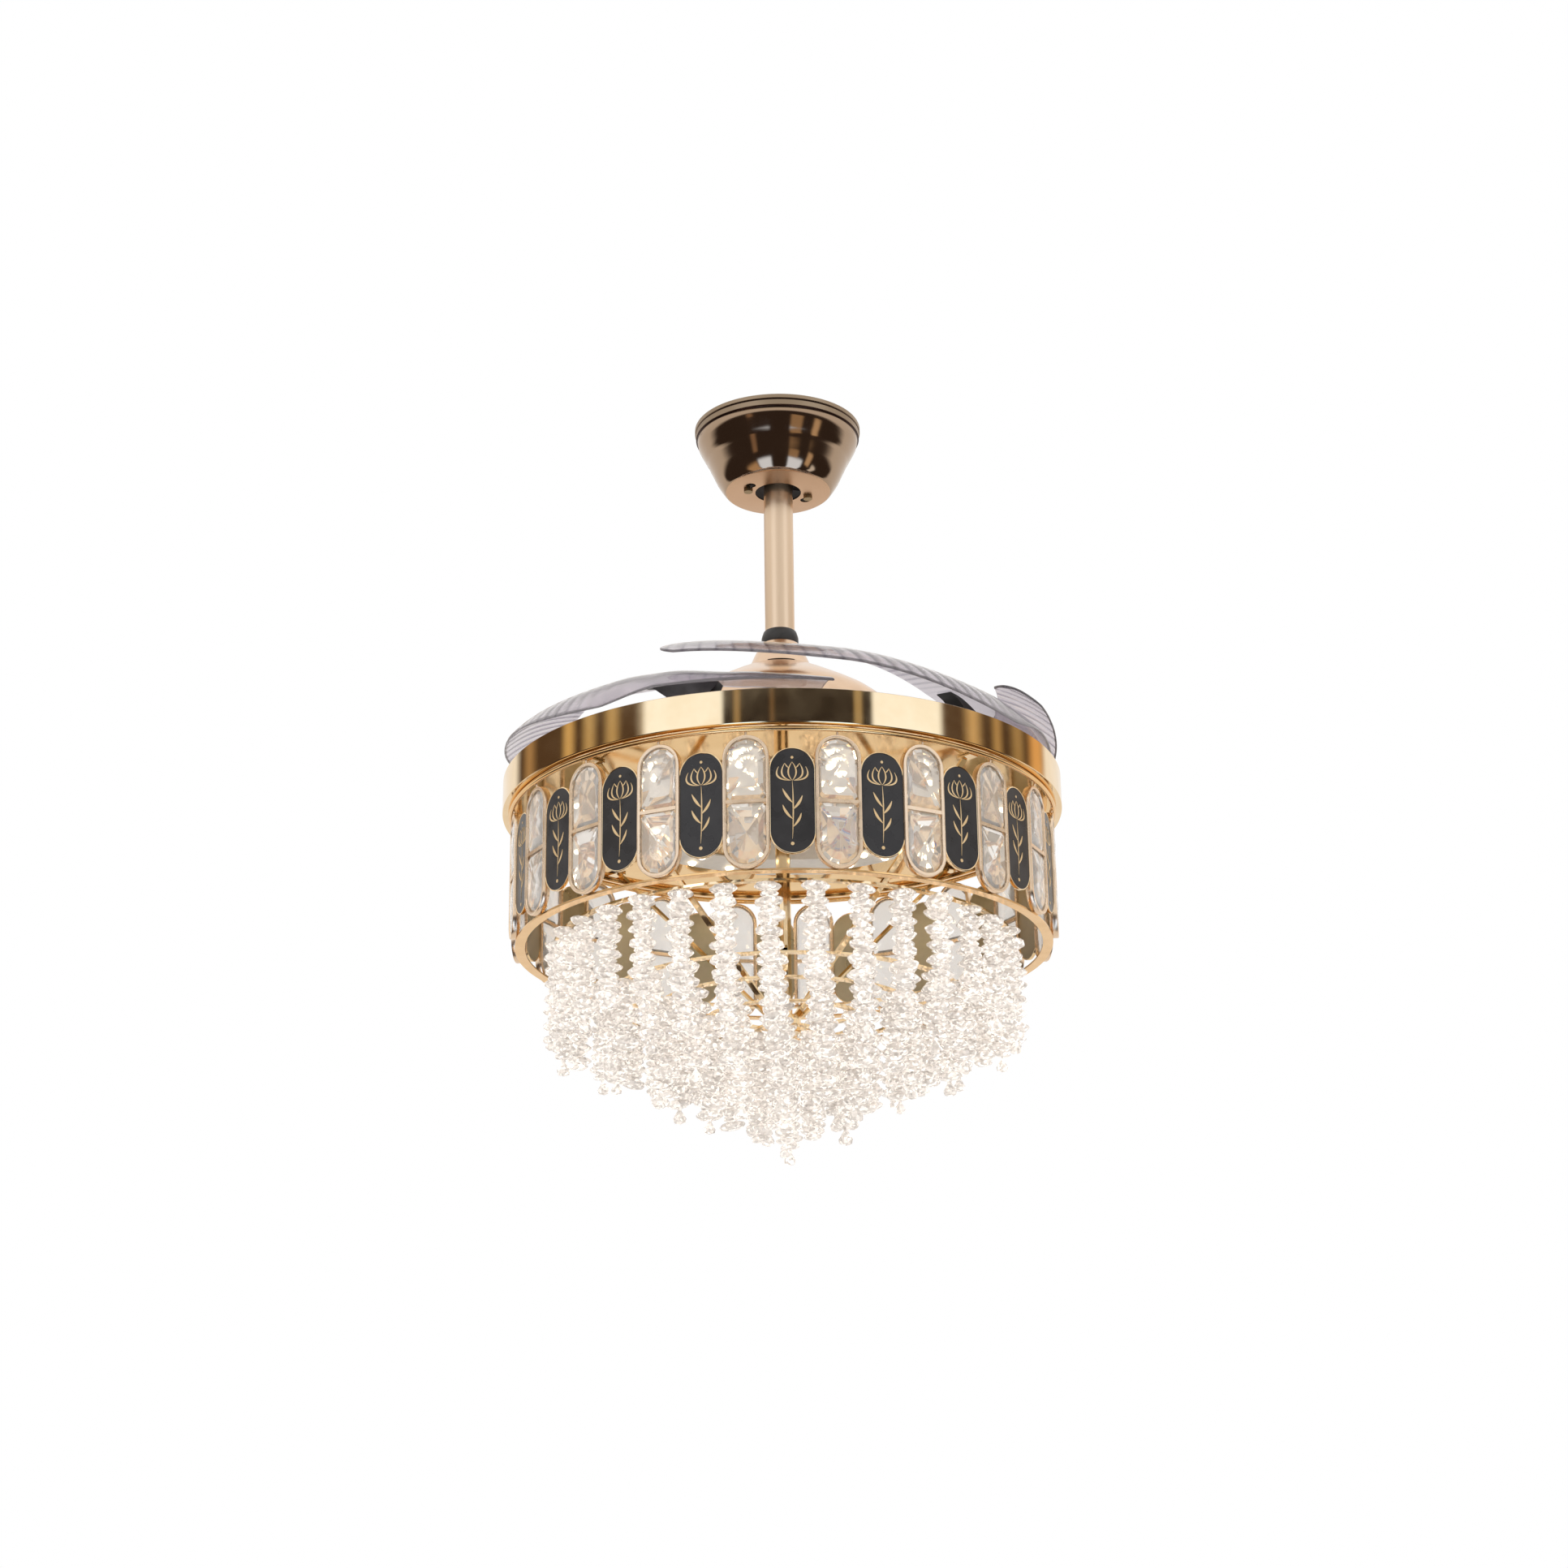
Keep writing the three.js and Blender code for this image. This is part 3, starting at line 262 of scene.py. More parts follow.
# ---- Canopy ----
# A spun metal bowl, dark bronze mirror with a satin shoulder and two beads at its rim, that hides the bracket.
# Two keyhole slots in its flat bottom let it turn on to the screws.
CANOPY_OUTSIDE = [
    (77.5, -0.5), (77.5, -3.9), (76.4, -4.4), (76.2, -4.9), (76.7, -5.4), (76.5, -10.4), (75.6, -10.9),
    (75.0, -11.6), (74.7, -14.2), (73.9, -16.8), (72.6, -19.6), (70.9, -22.9), (69.2, -26.2), (67.5, -29.4),
    (66.0, -31.9), (65.2, -33.6), (64.4, -35.5), (63.6, -37.4), (61.7, -41.4), (59.6, -46.3), (57.3, -51.3),
    (54.4, -56.3),
    (51.8, -60.2), (49.9, -62.7), (48.6, -63.7), (47.4, -64.0), (21.3, -64.0), (21.0, -63.7),
]
CANOPY_INSIDE = [
    (21.0, -62.8), (47.0, -62.8), (50.6, -59.6), (56.0, -50.6), (60.4, -41.2), (64.0, -30.7), (70.4, -20.6),
    (73.6, -11.6), (75.0, -10.0), (75.0, -0.5),
]
SCREW_RADIUS = 29.0
BRACKET_TURN = 17.0


def skin(points, round_rows=False, round_columns=False):
    """The four-cornered faces between neighbouring rows and columns of a grid of points."""
    rows, columns = points.shape[:2]
    row, column = np.meshgrid(
        np.arange(rows if round_rows else rows - 1),
        np.arange(columns if round_columns else columns - 1),
        indexing="ij",
    )
    next_row, next_column = (row + 1) % rows, (column + 1) % columns
    corners = [(row, column), (next_row, column), (next_row, next_column), (row, next_column)]
    faces = np.stack([(a * columns + b).ravel() for a, b in corners], axis=1)
    return points.reshape(-1, 3), faces.tolist()


def lathe(outline, steps=128):
    """A closed outline of (radius, height) in mm, turned round the fan's axis: (r cos a, r sin a, height)."""
    r, z = np.array(outline, float).T * 0.001
    a = np.linspace(0, 2 * np.pi, steps, endpoint=False)[:, None]
    return skin(np.stack([np.cos(a) * r, np.sin(a) * r, np.ones_like(a) * z], axis=2), True, True)


def slab(outline, low, high):
    """A flat outline of (x, y) points, drawn straight up from low to high and closed at both ends."""
    points = np.array(outline, float)
    count = len(points)
    rows = np.stack([np.column_stack([points, np.full(count, level)]) for level in (low, high)])
    corners, faces = skin(rows, round_columns=True)
    return corners, faces + [list(range(count))[::-1], list(range(count, 2 * count))]


def piece(name, finish, skins, body="hanging", soften=35, replaces=()):
    """One mesh from one or more skins, joined where they touch and turned outwards, that rides on its body.
    Edges sharper than soften, in degrees, stay sharp; 0 leaves every face flat."""
    points, faces, start = [], [], 0
    for corners, sides in skins:
        points.append(corners)
        faces += [[corner + start for corner in side] for side in sides]
        start += len(corners)
    mesh = bpy.data.meshes.new(name)
    mesh.from_pydata(np.concatenate(points).tolist(), [], faces)
    shell = bmesh.new()
    shell.from_mesh(mesh)
    bmesh.ops.remove_doubles(shell, verts=shell.verts, dist=2e-6)
    bmesh.ops.dissolve_degenerate(shell, edges=shell.edges, dist=1e-7)
    bmesh.ops.recalc_face_normals(shell, faces=shell.faces)
    shell.to_mesh(mesh)
    shell.free()
    if soften:
        mesh.shade_smooth()
        mesh.set_sharp_from_angle(angle=radians(soften))
    mesh.materials.append(finish)
    made = bpy.data.objects.new(name, mesh)
    bpy.context.scene.collection.objects.link(made)
    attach(made, body)
    if replaces:
        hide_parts(*replaces)
    return made


def carve(made, *skins):
    """Cuts closed skins out of a piece."""
    cutter = piece("cutter", made.data.materials[0], skins)
    cutting = made.modifiers.new("cut", "BOOLEAN")
    cutting.object = cutter
    cutting.solver = "EXACT"
    evaluated = made.evaluated_get(bpy.context.evaluated_depsgraph_get())
    result = bpy.data.meshes.new_from_object(evaluated)
    made.modifiers.clear()
    made.data = result
    bpy.data.objects.remove(cutter)
    result.set_sharp_from_angle(angle=radians(35))


def circle(x, y, radius, steps=24):
    """Points round a circle: (x + r cos a, y + r sin a)."""
    a = np.linspace(0, 2 * np.pi, steps, endpoint=False)
    return np.column_stack([x + radius * np.cos(a), y + radius * np.sin(a)])


def turned_about_axis(points, degrees):
    """The same (x, y, ...) points, turned about the fan's axis."""
    c, s = np.cos(radians(degrees)), np.sin(radians(degrees))
    turned = np.array(points, float)
    turned[..., 0], turned[..., 1] = c * points[..., 0] - s * points[..., 1], s * points[..., 0] + c * points[..., 1]
    return turned


def keyhole(side):
    """A round eye for the screw's head and beside it a slot for its shank, with a half-round end on the screw."""
    middle = side * SCREW_RADIUS
    a = np.linspace(0, np.pi, 12)
    slot = np.column_stack([middle + 2.7 * np.cos(a), -side * 2.7 * np.sin(a)])
    slot = np.concatenate([slot, [(middle - 2.7, side * 8), (middle + 2.7, side * 8)]])
    outlines = (circle(middle, side * 8.6, 4.6), slot)
    return [slab(turned_about_axis(outline, BRACKET_TURN) * 0.001, -0.067, -0.060) for outline in outlines]


def line_at(tree, value, middle, half):
    """1 on a thin line where the value is near its middle, and 0 beside it."""
    return fade(tree, sum_of(tree, "ABSOLUTE", sum_of(tree, "SUBTRACT", value, middle)), half, half * 0.4)


bronze = material("bronze_mirror", Metallic=1.0)
tree = bronze.node_tree
height = tree.nodes.new("ShaderNodeSeparateXYZ")
tree.links.new(tree.nodes.new("ShaderNodeTexCoord").outputs["Object"], height.inputs[0])
on_rim = fade(tree, height.outputs[2], -0.0130, -0.0110)
on_bottom = fade(tree, height.outputs[2], -0.0634, -0.0639)
shading = blend_colours(tree, on_rim, (0.42, 0.31, 0.22), (0.37, 0.285, 0.20))
# The flat bottom gets a lighter, peach copper colour: a painted reflection of the pale floor below.
shading = blend_colours(tree, on_bottom, shading, (0.68, 0.46, 0.30))
# Painted shade: two thin near-black lines at the rim's grooves stand for the shade and dark reflection in them.
groove_shade = sum_of(
    tree, "MAXIMUM",
    line_at(tree, height.outputs[2], -0.0049, 0.0010), line_at(tree, height.outputs[2], -0.0112, 0.0014),
)
shading = blend_colours(tree, groove_shade, shading, (0.05, 0.025, 0.018))
tree.links.new(shading, tree.nodes["Principled BSDF"].inputs["Base Color"])
satin = tree.nodes.new("ShaderNodeMapRange")
wire(tree, satin, sum_of(tree, "MAXIMUM", on_rim, on_bottom), 0.0, 1.0, 0.09, 0.34)
worn = tree.nodes.new("ShaderNodeMapRange")
wire(tree, worn, noise(tree, 35), 0.3, 0.7, -0.025, 0.025)
dulled = sum_of(tree, "ADD", satin.outputs[0], worn.outputs[0])
tree.links.new(dulled, tree.nodes["Principled BSDF"].inputs["Roughness"])

canopy = piece("canopy_bowl", bronze, [lathe(CANOPY_OUTSIDE + CANOPY_INSIDE)], "ceiling", replaces=["canopy"])
# Painted shade: the inside faces of the canopy and the bell are coloured near-black to keep them dark, as no ceiling
# closes the canopy's open top.
inside_shade = vary(
    material("painted_inside_shade", Metallic=0.6), 60, (0.5, 0.7), ((0.020, 0.016, 0.014), (0.04, 0.03, 0.026))
)


def paint_inside_shade(shell, upmost=2.0):
    """Give a turned shell's faces that look to its axis, or up by more than upmost, a near-black painted shade that
    keeps the inside dark.
    """
    shell.data.materials.append(inside_shade)
    for face in shell.data.polygons:
        outwards = face.normal[0] * face.center[0] + face.normal[1] * face.center[1]
        face.material_index = int(outwards < 0 or face.normal[2] > upmost)


paint_inside_shade(canopy, 0.5)
for side in (-1, 1):
    for hole in keyhole(side):
        carve(canopy, hole)

# ---- Downrod and collar ----
# A 27 mm steel tube in satin champagne plating carries everything below the ceiling.
# A black moulded collar closes the joint between the rod and the bell.
champagne = vary(
    material("champagne_plating", Metallic=1.0, Anisotropic=0.4),
    30, (0.24, 0.34), ((0.82, 0.64, 0.47), (0.88, 0.70, 0.52)), 0.03, (1, 1, 0.05),
)
rod = piece(
    "champagne_rod", champagne, [lathe([(13.5, -20.4), (13.5, -257.9), (11.3, -257.9), (11.3, -20.4)], 64)],
    replaces=["downrod"],
)
collar = piece(
    "black_collar", black_moulding,
    [lathe([(13.8, -218), (16.6, -218), (17.0, -217.4), (16.9, -212), (16.5, -210), (15.2, -206), (14.2, -205),
            (13.8, -205)], 64)],
    replaces=["rod_collar"],
)

# ---- Bell ----
# A spun steel cover in tan rose gold hides the motor; it flares from the collar to over the folded blades' roots.
# A slot and two holes in its neck take the tool that tightens the rod.
BELL_OUTSIDE = [
    (16.0, -218.3), (17.6, -218.5), (20.6, -223.5), (24.0, -230.5), (27.2, -238.2), (29.8, -243.7), (31.0, -245.1),
    (36.0, -245.9), (38.5, -246.7), (50.0, -252.6), (63.0, -259.9), (76.0, -267.2), (88.0, -274.6), (96.0, -281.0),
    (100.6, -286.4), (103.0, -292.0), (104.0, -299.6), (103.7, -300.0),
]
BELL_INSIDE = [(102.5, -300.0), (101.2, -292.0), (98.6, -286.6), (87.2, -275.7), (62.4, -261.4), (37.6, -248.2),
               (30.0, -246.4), (28.4, -244.5), (22.4, -231.0), (16.0, -220.0)]
rose_gold = vary(
    material("rose_gold_plating", Metallic=1.0), 45, (0.16, 0.24), ((0.77, 0.56, 0.40), (0.83, 0.62, 0.45)), 0.03
)
bell = piece("bell", rose_gold, [lathe(BELL_OUTSIDE + BELL_INSIDE)], replaces=["motor_cover"])


def arc_slab(inner, outer, middle, half, low, high):
    """A sector of a ring, half degrees to each side of a middle angle, between two heights in mm."""
    a = np.radians(np.linspace(middle - half, middle + half, 24))
    ray = np.column_stack([np.cos(a), np.sin(a)])
    return slab(np.concatenate([ray * outer, ray[::-1] * inner]) * 0.001, low * 0.001, high * 0.001)


TOOL_HOLE_ANGLES = (-117, -72)
TOOL_HOLE_DISTANCE, TOOL_HOLE_RADIUS = 0.0335, 0.0026
# The bell's inside gets the same painted shade.
paint_inside_shade(bell)
carve(bell, arc_slab(25, 34, -88, 25, -243.4, -241.6))
for hole_angle in TOOL_HOLE_ANGLES:
    at = radians(hole_angle)
    x, y = TOOL_HOLE_DISTANCE * np.cos(at), TOOL_HOLE_DISTANCE * np.sin(at)
    carve(bell, slab(circle(x, y, TOOL_HOLE_RADIUS, 16), -0.250, -0.240))

# ---- Motor ----
# An outside-rotor motor under the bell: hollow fixed shaft, wound stator, steel shell on two bearings,
# and the return spring round the shell that folds the blades.
winding = vary(
    material("enamelled_copper", Metallic=0.7), 300, (0.3, 0.45), ((0.30, 0.10, 0.04), (0.45, 0.17, 0.07)), 0.3
)
cast_shell = vary(
    material("motor_shell", Metallic=1.0), 150, (0.35, 0.5), ((0.36, 0.36, 0.37), (0.45, 0.45, 0.46)), 0.2
)
dress(winding, "stator")
dress(cast_shell, "rotor_shell")
dress(zinc, "motor_shaft", "upper_bearing", "lower_bearing", "return_spring", "blade_plate")

# ---- Blade mechanism ----
# Moulded white ring gear, which turns on the shell's seat and meets the toothed sector of each black blade arm,
# so that all four blades open together about their posts.
white_moulding = vary(
    material("white_moulding", Roughness=0.4), 180, (0.34, 0.46), ((0.80, 0.80, 0.78), (0.86, 0.86, 0.84)), 0.1
)
dress(white_moulding, "sync_gear")

# ---- Blades ----
# Four moulded sheets of clear smoky plastic with slanting flutes, curled down over the band when folded.
# Each runs 128 degrees round the fan, from a raised tip to its root under the next blade's tip, and is held by
# a black moulded arm that turns on its post.
BLADE_ANGLE = 128.0
FIRST_TIP = -117.0
BLADE_THICKNESS = 2.4
BLADE_SECTIONS = [
    # angle from the tip, outer edge's radius and height, inner edge's radius and height, curl
    (0, 246, -314, 203, -290, 0.9),
    (40, 250, -329, 182, -297, 0.5),
    (80, 250, -351, 166, -309, 0.24),
    (92, 249, -344, 168, -315, 0.24),
    (107, 244, -344, 172, -323, 0.28),
    (128, 236, -342, 176, -329, 0.35),
]
FLUTES = 104


def rounded_border(share, length, radius):
    """Thickness left near an end: a quarter circle of that radius, where share runs 0 to 1 over the length."""
    inward = np.minimum(np.minimum(share, 1 - share) * length / radius, 1)
    return np.sqrt(np.maximum(1 - (1 - inward) ** 2, 0))


def section_at(angle):
    """A blade's edge radius and height, inner radius and height, and curl, at angles from its tip."""
    stations = np.array(BLADE_SECTIONS, float)
    low = np.clip(np.searchsorted(stations[:, 0], angle, side="left") - 1, 0, len(stations) - 2)
    before, after = stations[low], stations[low + 1]
    t = ((angle - before[:, 0]) / (after[:, 0] - before[:, 0]))[:, None]
    ease = 0.5 * t * t * (3 - 2 * t) + 0.5 * t
    return (before + (after - before) * ease).T[1:, :, None]


def blade_height(section, across):
    """The upper face's height at share u of the width: it climbs inwards as 1 - exp(-u / curl)."""
    _, edge_height, _, inner_height, curl = section
    return edge_height + (inner_height - edge_height) * (1 - np.exp(-across / curl)) / (1 - np.exp(-1 / curl))


def blade_sheet(first_angle):
    """Both faces of a blade. At angle a from the tip the radius runs straight from edge to edge. The tip's corners
    are rounded by turning them back."""
    ends = np.array([0, 0.0006, 0.002, 0.004])
    along = np.concatenate([ends, np.linspace(0.008, 0.992, 150), 1 - ends[::-1]])[:, None]
    rims = np.array([0, 0.0015, 0.006, 0.014])
    across = np.concatenate([rims, np.linspace(0.03, 0.97, 30), 1 - rims[::-1]])[None, :]
    section = section_at(along[:, 0] * BLADE_ANGLE)
    radius = section[0] + (section[2] - section[0]) * across
    nose = 6.0 * np.maximum(1 - across / 0.45, 0) ** 2 + 2.5 * np.maximum(across / 0.45 - 1.2, 0) ** 2
    turn = np.radians(first_angle + along * BLADE_ANGLE + 2.5 * across * (1 - along) + nose * (1 - along) ** 8)
    half = BLADE_THICKNESS / 2 * rounded_border(across, 70, 1.2) * rounded_border(along, 520, 1.2)
    faces = []
    for side in (1, -1):
        middle = blade_height(section, across) - BLADE_THICKNESS / 2
        grid = np.stack([radius * np.cos(turn), radius * np.sin(turn), middle + side * half], axis=2) * 0.001
        faces.append(skin(grid))
    return faces


def collar_prism(outline, bore, centre, low, high):
    """A flat outline round a centre, drawn up from low to high in mm, with a round bore through it."""
    a = np.linspace(0, 2 * np.pi, len(outline), endpoint=False)
    hole = np.column_stack([np.cos(a), np.sin(a)]) * bore
    rows = [(outline, low), (outline, high), (hole, high), (hole, low)]
    grid = np.stack([np.column_stack([ring + centre, np.full(len(ring), level)]) for ring, level in rows])
    return skin(grid * 0.001, True, True)


def sector_outline():
    """Seven teeth of a twelve-toothed gear, 30 degrees apart, closed behind by a smaller arc."""
    corners = []
    for number in range(7):
        middle = 120 + 30 * number
        corners += [(23.5, middle - 8.72), (34.5, middle - 3.74), (34.5, middle + 3.74), (23.5, middle + 8.72)]
    corners += [(20, 345), (20, 370), (20, 395), (20, 418), (20, 440)]
    r, a = np.array(corners, float).T
    return np.column_stack([r * np.cos(np.radians(a)), r * np.sin(np.radians(a))])


def arm_skins(first_angle):
    """Hub, toothed sector, flat plate, stop, and the horn that rises under the blade's root: its depth below the
    blade follows HORN_DEPTH along the blade."""
    pivot = first_angle + 120
    centre = PIVOT_RADIUS * np.array([np.cos(radians(pivot)), np.sin(radians(pivot))])
    hub = collar_prism(circle(0, 0, 12, 32), 5.6, centre, -357.7, -334.5)
    sector = collar_prism(turned_about_axis(sector_outline(), first_angle), 5.6, centre, -357.7, -352.7)
    plate = arc_slab(168, 194, first_angle + 100, 16, -337.5, -334.5)
    stop = arc_slab(176, 188, first_angle + 93, 0.8, -349.5, -335.5)
    angles, share = np.array(HORN_DEPTH, float).T
    angle = np.linspace(angles[0], angles[-1], 40)
    section = section_at(angle)
    corners = []
    for radius, deep in ((177, 0), (192, 0), (192, 1), (177, 1)):
        across = (radius - section[0]) / (section[2] - section[0])
        top = blade_height(section, across)[:, 0] - BLADE_THICKNESS - 0.4
        level = top - deep * (top + 335) * np.interp(angle, angles, share)
        at = np.radians(first_angle + angle)
        corners.append(np.column_stack([radius * np.cos(at), radius * np.sin(at), level]))
    points, faces = skin(np.stack(corners, axis=1) * 0.001, round_columns=True)
    last = len(points) - 4
    horn = (points, faces + [[0, 1, 2, 3], [last, last + 1, last + 2, last + 3]])
    return [hub, sector, plate, stop, horn]


PIVOT_RADIUS = 180.0
HORN_DEPTH = [(77, 0.03), (80, 0.12), (83, 0.33), (86, 0.7), (88, 1), (97, 1), (99, 0.8), (100.5, 0.4), (101, 0.05)]

smoky = material("smoky_clear_plastic", IOR=1.46, Transmission_Weight=0.92)
tree = smoky.node_tree
shader = tree.nodes["Principled BSDF"]
spot = tree.nodes.new("ShaderNodeSeparateXYZ")
tree.links.new(tree.nodes.new("ShaderNodeTexCoord").outputs["Object"], spot.inputs[0])
x, y = spot.outputs[0], spot.outputs[1]
polar = sum_of(tree, "ARCTAN2", y, x)
reach = sum_of(tree, "SQRT", sum_of(tree, "ADD", sum_of(tree, "MULTIPLY", x, x), sum_of(tree, "MULTIPLY", y, y)))
# The flutes run almost straight out: 80 mm outwards turns each on by 5 degrees. There are FLUTES in a turn.
slanted = sum_of(tree, "SUBTRACT", polar, sum_of(tree, "MULTIPLY", reach, radians(5) / 0.080))
wave = sum_of(tree, "COSINE", sum_of(tree, "MULTIPLY", slanted, float(FLUTES)))
along = tree.nodes.new("ShaderNodeAttribute")
along.attribute_name = "along"
fluted = fade(tree, along.outputs["Fac"], 0.75, 0.55)
wave = sum_of(tree, "MULTIPLY", wave, fluted)
# Painted shade: the flutes' troughs are coloured a darker lavender grey.
groove_shade = sum_of(tree, "POWER", sum_of(tree, "ADD", sum_of(tree, "MULTIPLY", wave, 0.5), 0.5), 9.0)
tree.links.new(
    blend_colours(tree, groove_shade, (0.76, 0.72, 0.77), (0.42, 0.39, 0.46)), shader.inputs["Base Color"]
)
relief = tree.nodes.new("ShaderNodeBump")
relief.inputs["Strength"].default_value = 0.15
relief.inputs["Distance"].default_value = 0.0004
tree.links.new(wave, relief.inputs["Height"])
tree.links.new(relief.outputs[0], shader.inputs["Normal"])
gloss = tree.nodes.new("ShaderNodeMapRange")
wire(tree, gloss, noise(tree, 25), 0.3, 0.7, 0.04, 0.12)
tree.links.new(gloss.outputs[0], shader.inputs["Roughness"])

for number in (1, 2, 3, 4):
    sheet = piece(
        f"clear_blade_{number}", smoky, blade_sheet(FIRST_TIP + 90 * (number - 1)), f"blade_{number}",
        replaces=[f"blade_{number}"],
    )
    tip = FIRST_TIP + 90 * (number - 1)
    at = np.array([corner.co for corner in sheet.data.vertices])
    share = (np.degrees(np.arctan2(at[:, 1], at[:, 0])) - tip + 5) % 360 / BLADE_ANGLE
    sheet.data.attributes.new("along", "FLOAT", "POINT").data.foreach_set("value", share.astype(np.float32))
    arm = piece(
        f"folding_arm_{number}", black_moulding, arm_skins(tip), f"blade_{number}", replaces=[f"blade_arm_{number}"]
    )

# ---- Light tray and its band ----
# A spun tray in polished pale gold hangs on the fixed shaft: a 30 mm band outside, a sunken middle under the
# blade plate, and a turned-in lip below that holds the mirror plate.
TRAY_OUTLINE = [
    (13.1, -363), (217.0, -363), (217.0, -356.9), (217.4, -356.6), (249.6, -356.6), (250.0, -357.0),
    (250.0, -385.9), (249.5, -386.4), (240.2, -386.4), (240.0, -386.2), (240.0, -384.9),
    (248.3, -384.9), (248.5, -384.7), (248.5, -358.1), (218.5, -358.1), (218.5, -364.5), (13.1, -364.5),
]
gold = vary(
    material("polished_pale_gold", Metallic=1.0), 40, (0.05, 0.08), ((0.90, 0.70, 0.43), (0.95, 0.76, 0.49)), 0.01
)
tray = piece("gold_tray", gold, [lathe(TRAY_OUTLINE, 192)], replaces=["light_tray"])

# ---- Mirror plate, lamp board and lamps ----
# A gold mirror disc closes the tray from below. Under it a white ring carries small warm lamps.
LAMP_RINGS = [(128, 20, 0), (148, 24, 5)]
mirror = vary(
    material("gold_mirror", Metallic=1.0), 30, (0.04, 0.09), ((0.87, 0.60, 0.28), (0.93, 0.67, 0.34)), 0.02
)
plate = piece(
    "mirror_plate", mirror,
    [lathe([(16.5, -384.6), (244.3, -384.6), (244.5, -384.2), (244.5, -383.2), (16.5, -383.1)], 192)],
    replaces=["inner_plate"],
)
board = piece(
    "lamp_ring", white_moulding, [lathe([(118, -386.5), (158, -386.5), (158, -384.9), (118, -384.9)])],
    replaces=["lamp_board"],
)


def dome(centre, radius, depth, steps=12):
    """A round cap that hangs down from a centre: radius cos e outwards and depth sin e down, e from 0 to 90."""
    e = np.linspace(0, np.pi / 2, 6)[:, None]
    a = np.linspace(0, 2 * np.pi, steps, endpoint=False)[None, :]
    x = centre[0] + radius * np.cos(e) * np.cos(a)
    y = centre[1] + radius * np.cos(e) * np.sin(a)
    z = centre[2] - depth * np.sin(e) * np.ones_like(a)
    corners, faces = skin(np.stack([x, y, z], axis=2) * 0.001, round_columns=True)
    return corners, faces + [list(range(steps))]


lamps = []
for lamp_radius, count, start in LAMP_RINGS:
    for number in range(count):
        at = radians(start + number * 360 / count)
        lamps.append(dome((lamp_radius * np.cos(at), lamp_radius * np.sin(at), -386.45), 4.0, 3.2))
warm = vary(
    material("warm_lamp", Roughness=0.3, Emission_Color=(1.0, 0.80, 0.52), Emission_Strength=6.0),
    200, None, ((1.0, 0.9, 0.7), (1.0, 0.84, 0.6)),
)
points = piece("warm_lamps", warm, lamps)

# ---- Driver and its wires ----
# A white moulded box with two fixing ears is screwed behind the lamps; two thin wires run from it to the shaft.
DRIVER = {"x": 12, "y": 66, "length": 76, "width": 46, "height": 25}


def rounded_box_outline(width, depth, corner, steps=6):
    """A rectangle with round corners: four quarter circles joined by straight sides."""
    a = np.linspace(0, np.pi / 2, steps)
    quarter = np.column_stack([np.cos(a), np.sin(a)]) * corner
    sides = []
    for turn, (sx, sy) in enumerate([(1, 1), (-1, 1), (-1, -1), (1, -1)]):
        centre = np.array([sx * (width / 2 - corner), sy * (depth / 2 - corner)])
        sides.append(turned_about_axis(quarter, 90 * turn) + centre)
    return np.concatenate(sides)


def hose(path, radius, sides=10, fine=8):
    """A round wire along points in mm, smoothed between them: a circle carried square to the path."""
    points = np.array(path, float)
    padded = np.concatenate([[2 * points[0] - points[1]], points, [2 * points[-1] - points[-2]]])
    t = np.linspace(0, 1, fine, endpoint=False)[:, None, None]
    a, b, c, d = padded[:-3], padded[1:-2], padded[2:-1], padded[3:]
    curve = 0.5 * (2 * b + (c - a) * t + (2 * a - 5 * b + 4 * c - d) * t**2 + (3 * b - a - 3 * c + d) * t**3)
    line = np.concatenate([curve.transpose(1, 0, 2).reshape(-1, 3), points[-1:]])
    forward = np.gradient(line, axis=0)
    forward /= np.linalg.norm(forward, axis=1, keepdims=True)
    aside = np.cross(forward, (0.1, 0.2, 1.0))
    aside /= np.linalg.norm(aside, axis=1, keepdims=True)
    upward = np.cross(forward, aside)
    turn = np.linspace(0, 2 * np.pi, sides, endpoint=False)[None, :, None]
    ring = line[:, None] + radius * (np.cos(turn) * aside[:, None] + np.sin(turn) * upward[:, None])
    corners, faces = skin(ring * 0.001, round_columns=True)
    last = len(corners) - sides
    return corners, faces + [list(range(sides)), list(range(last, last + sides))]


def driver_block(width, depth, corner, low, high):
    """A rounded block under the mirror plate, centred on the driver's place."""
    outline = rounded_box_outline(width, depth, corner) + (DRIVER["x"], DRIVER["y"])
    return slab(outline * 0.001, low * 0.001, high * 0.001)


driver = piece(
    "driver_case", white_moulding,
    [driver_block(DRIVER["length"], DRIVER["width"], 4, -409.9, -384.9), driver_block(92, 10, 3, -386.9, -384.95)],
    replaces=["driver_box"],
)
lead_start = DRIVER["x"] + DRIVER["length"] / 2 - 0.5
LEAD_ROUTE = [
    (lead_start, 66, -396.9), (lead_start + 10, 66, -396.9), (lead_start + 18, 40, -394.9),
    (lead_start - 10, 24, -393.9), (lead_start - 22, 16, -391.9), (22, 6, -388.5),
]
for name, colour, offset in (("red_wire", (0.55, 0.03, 0.03), 1.0), ("blue_wire", (0.03, 0.07, 0.5), -1.0)):
    covering = vary(material(name, Roughness=0.4), 120, (0.35, 0.5), (colour, tuple(c * 0.8 for c in colour)))
    route = np.array(LEAD_ROUTE) + (0, 0.3 * offset, offset)
    piece(name, covering, [hose(route, 0.8)])
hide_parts("driver_lead")

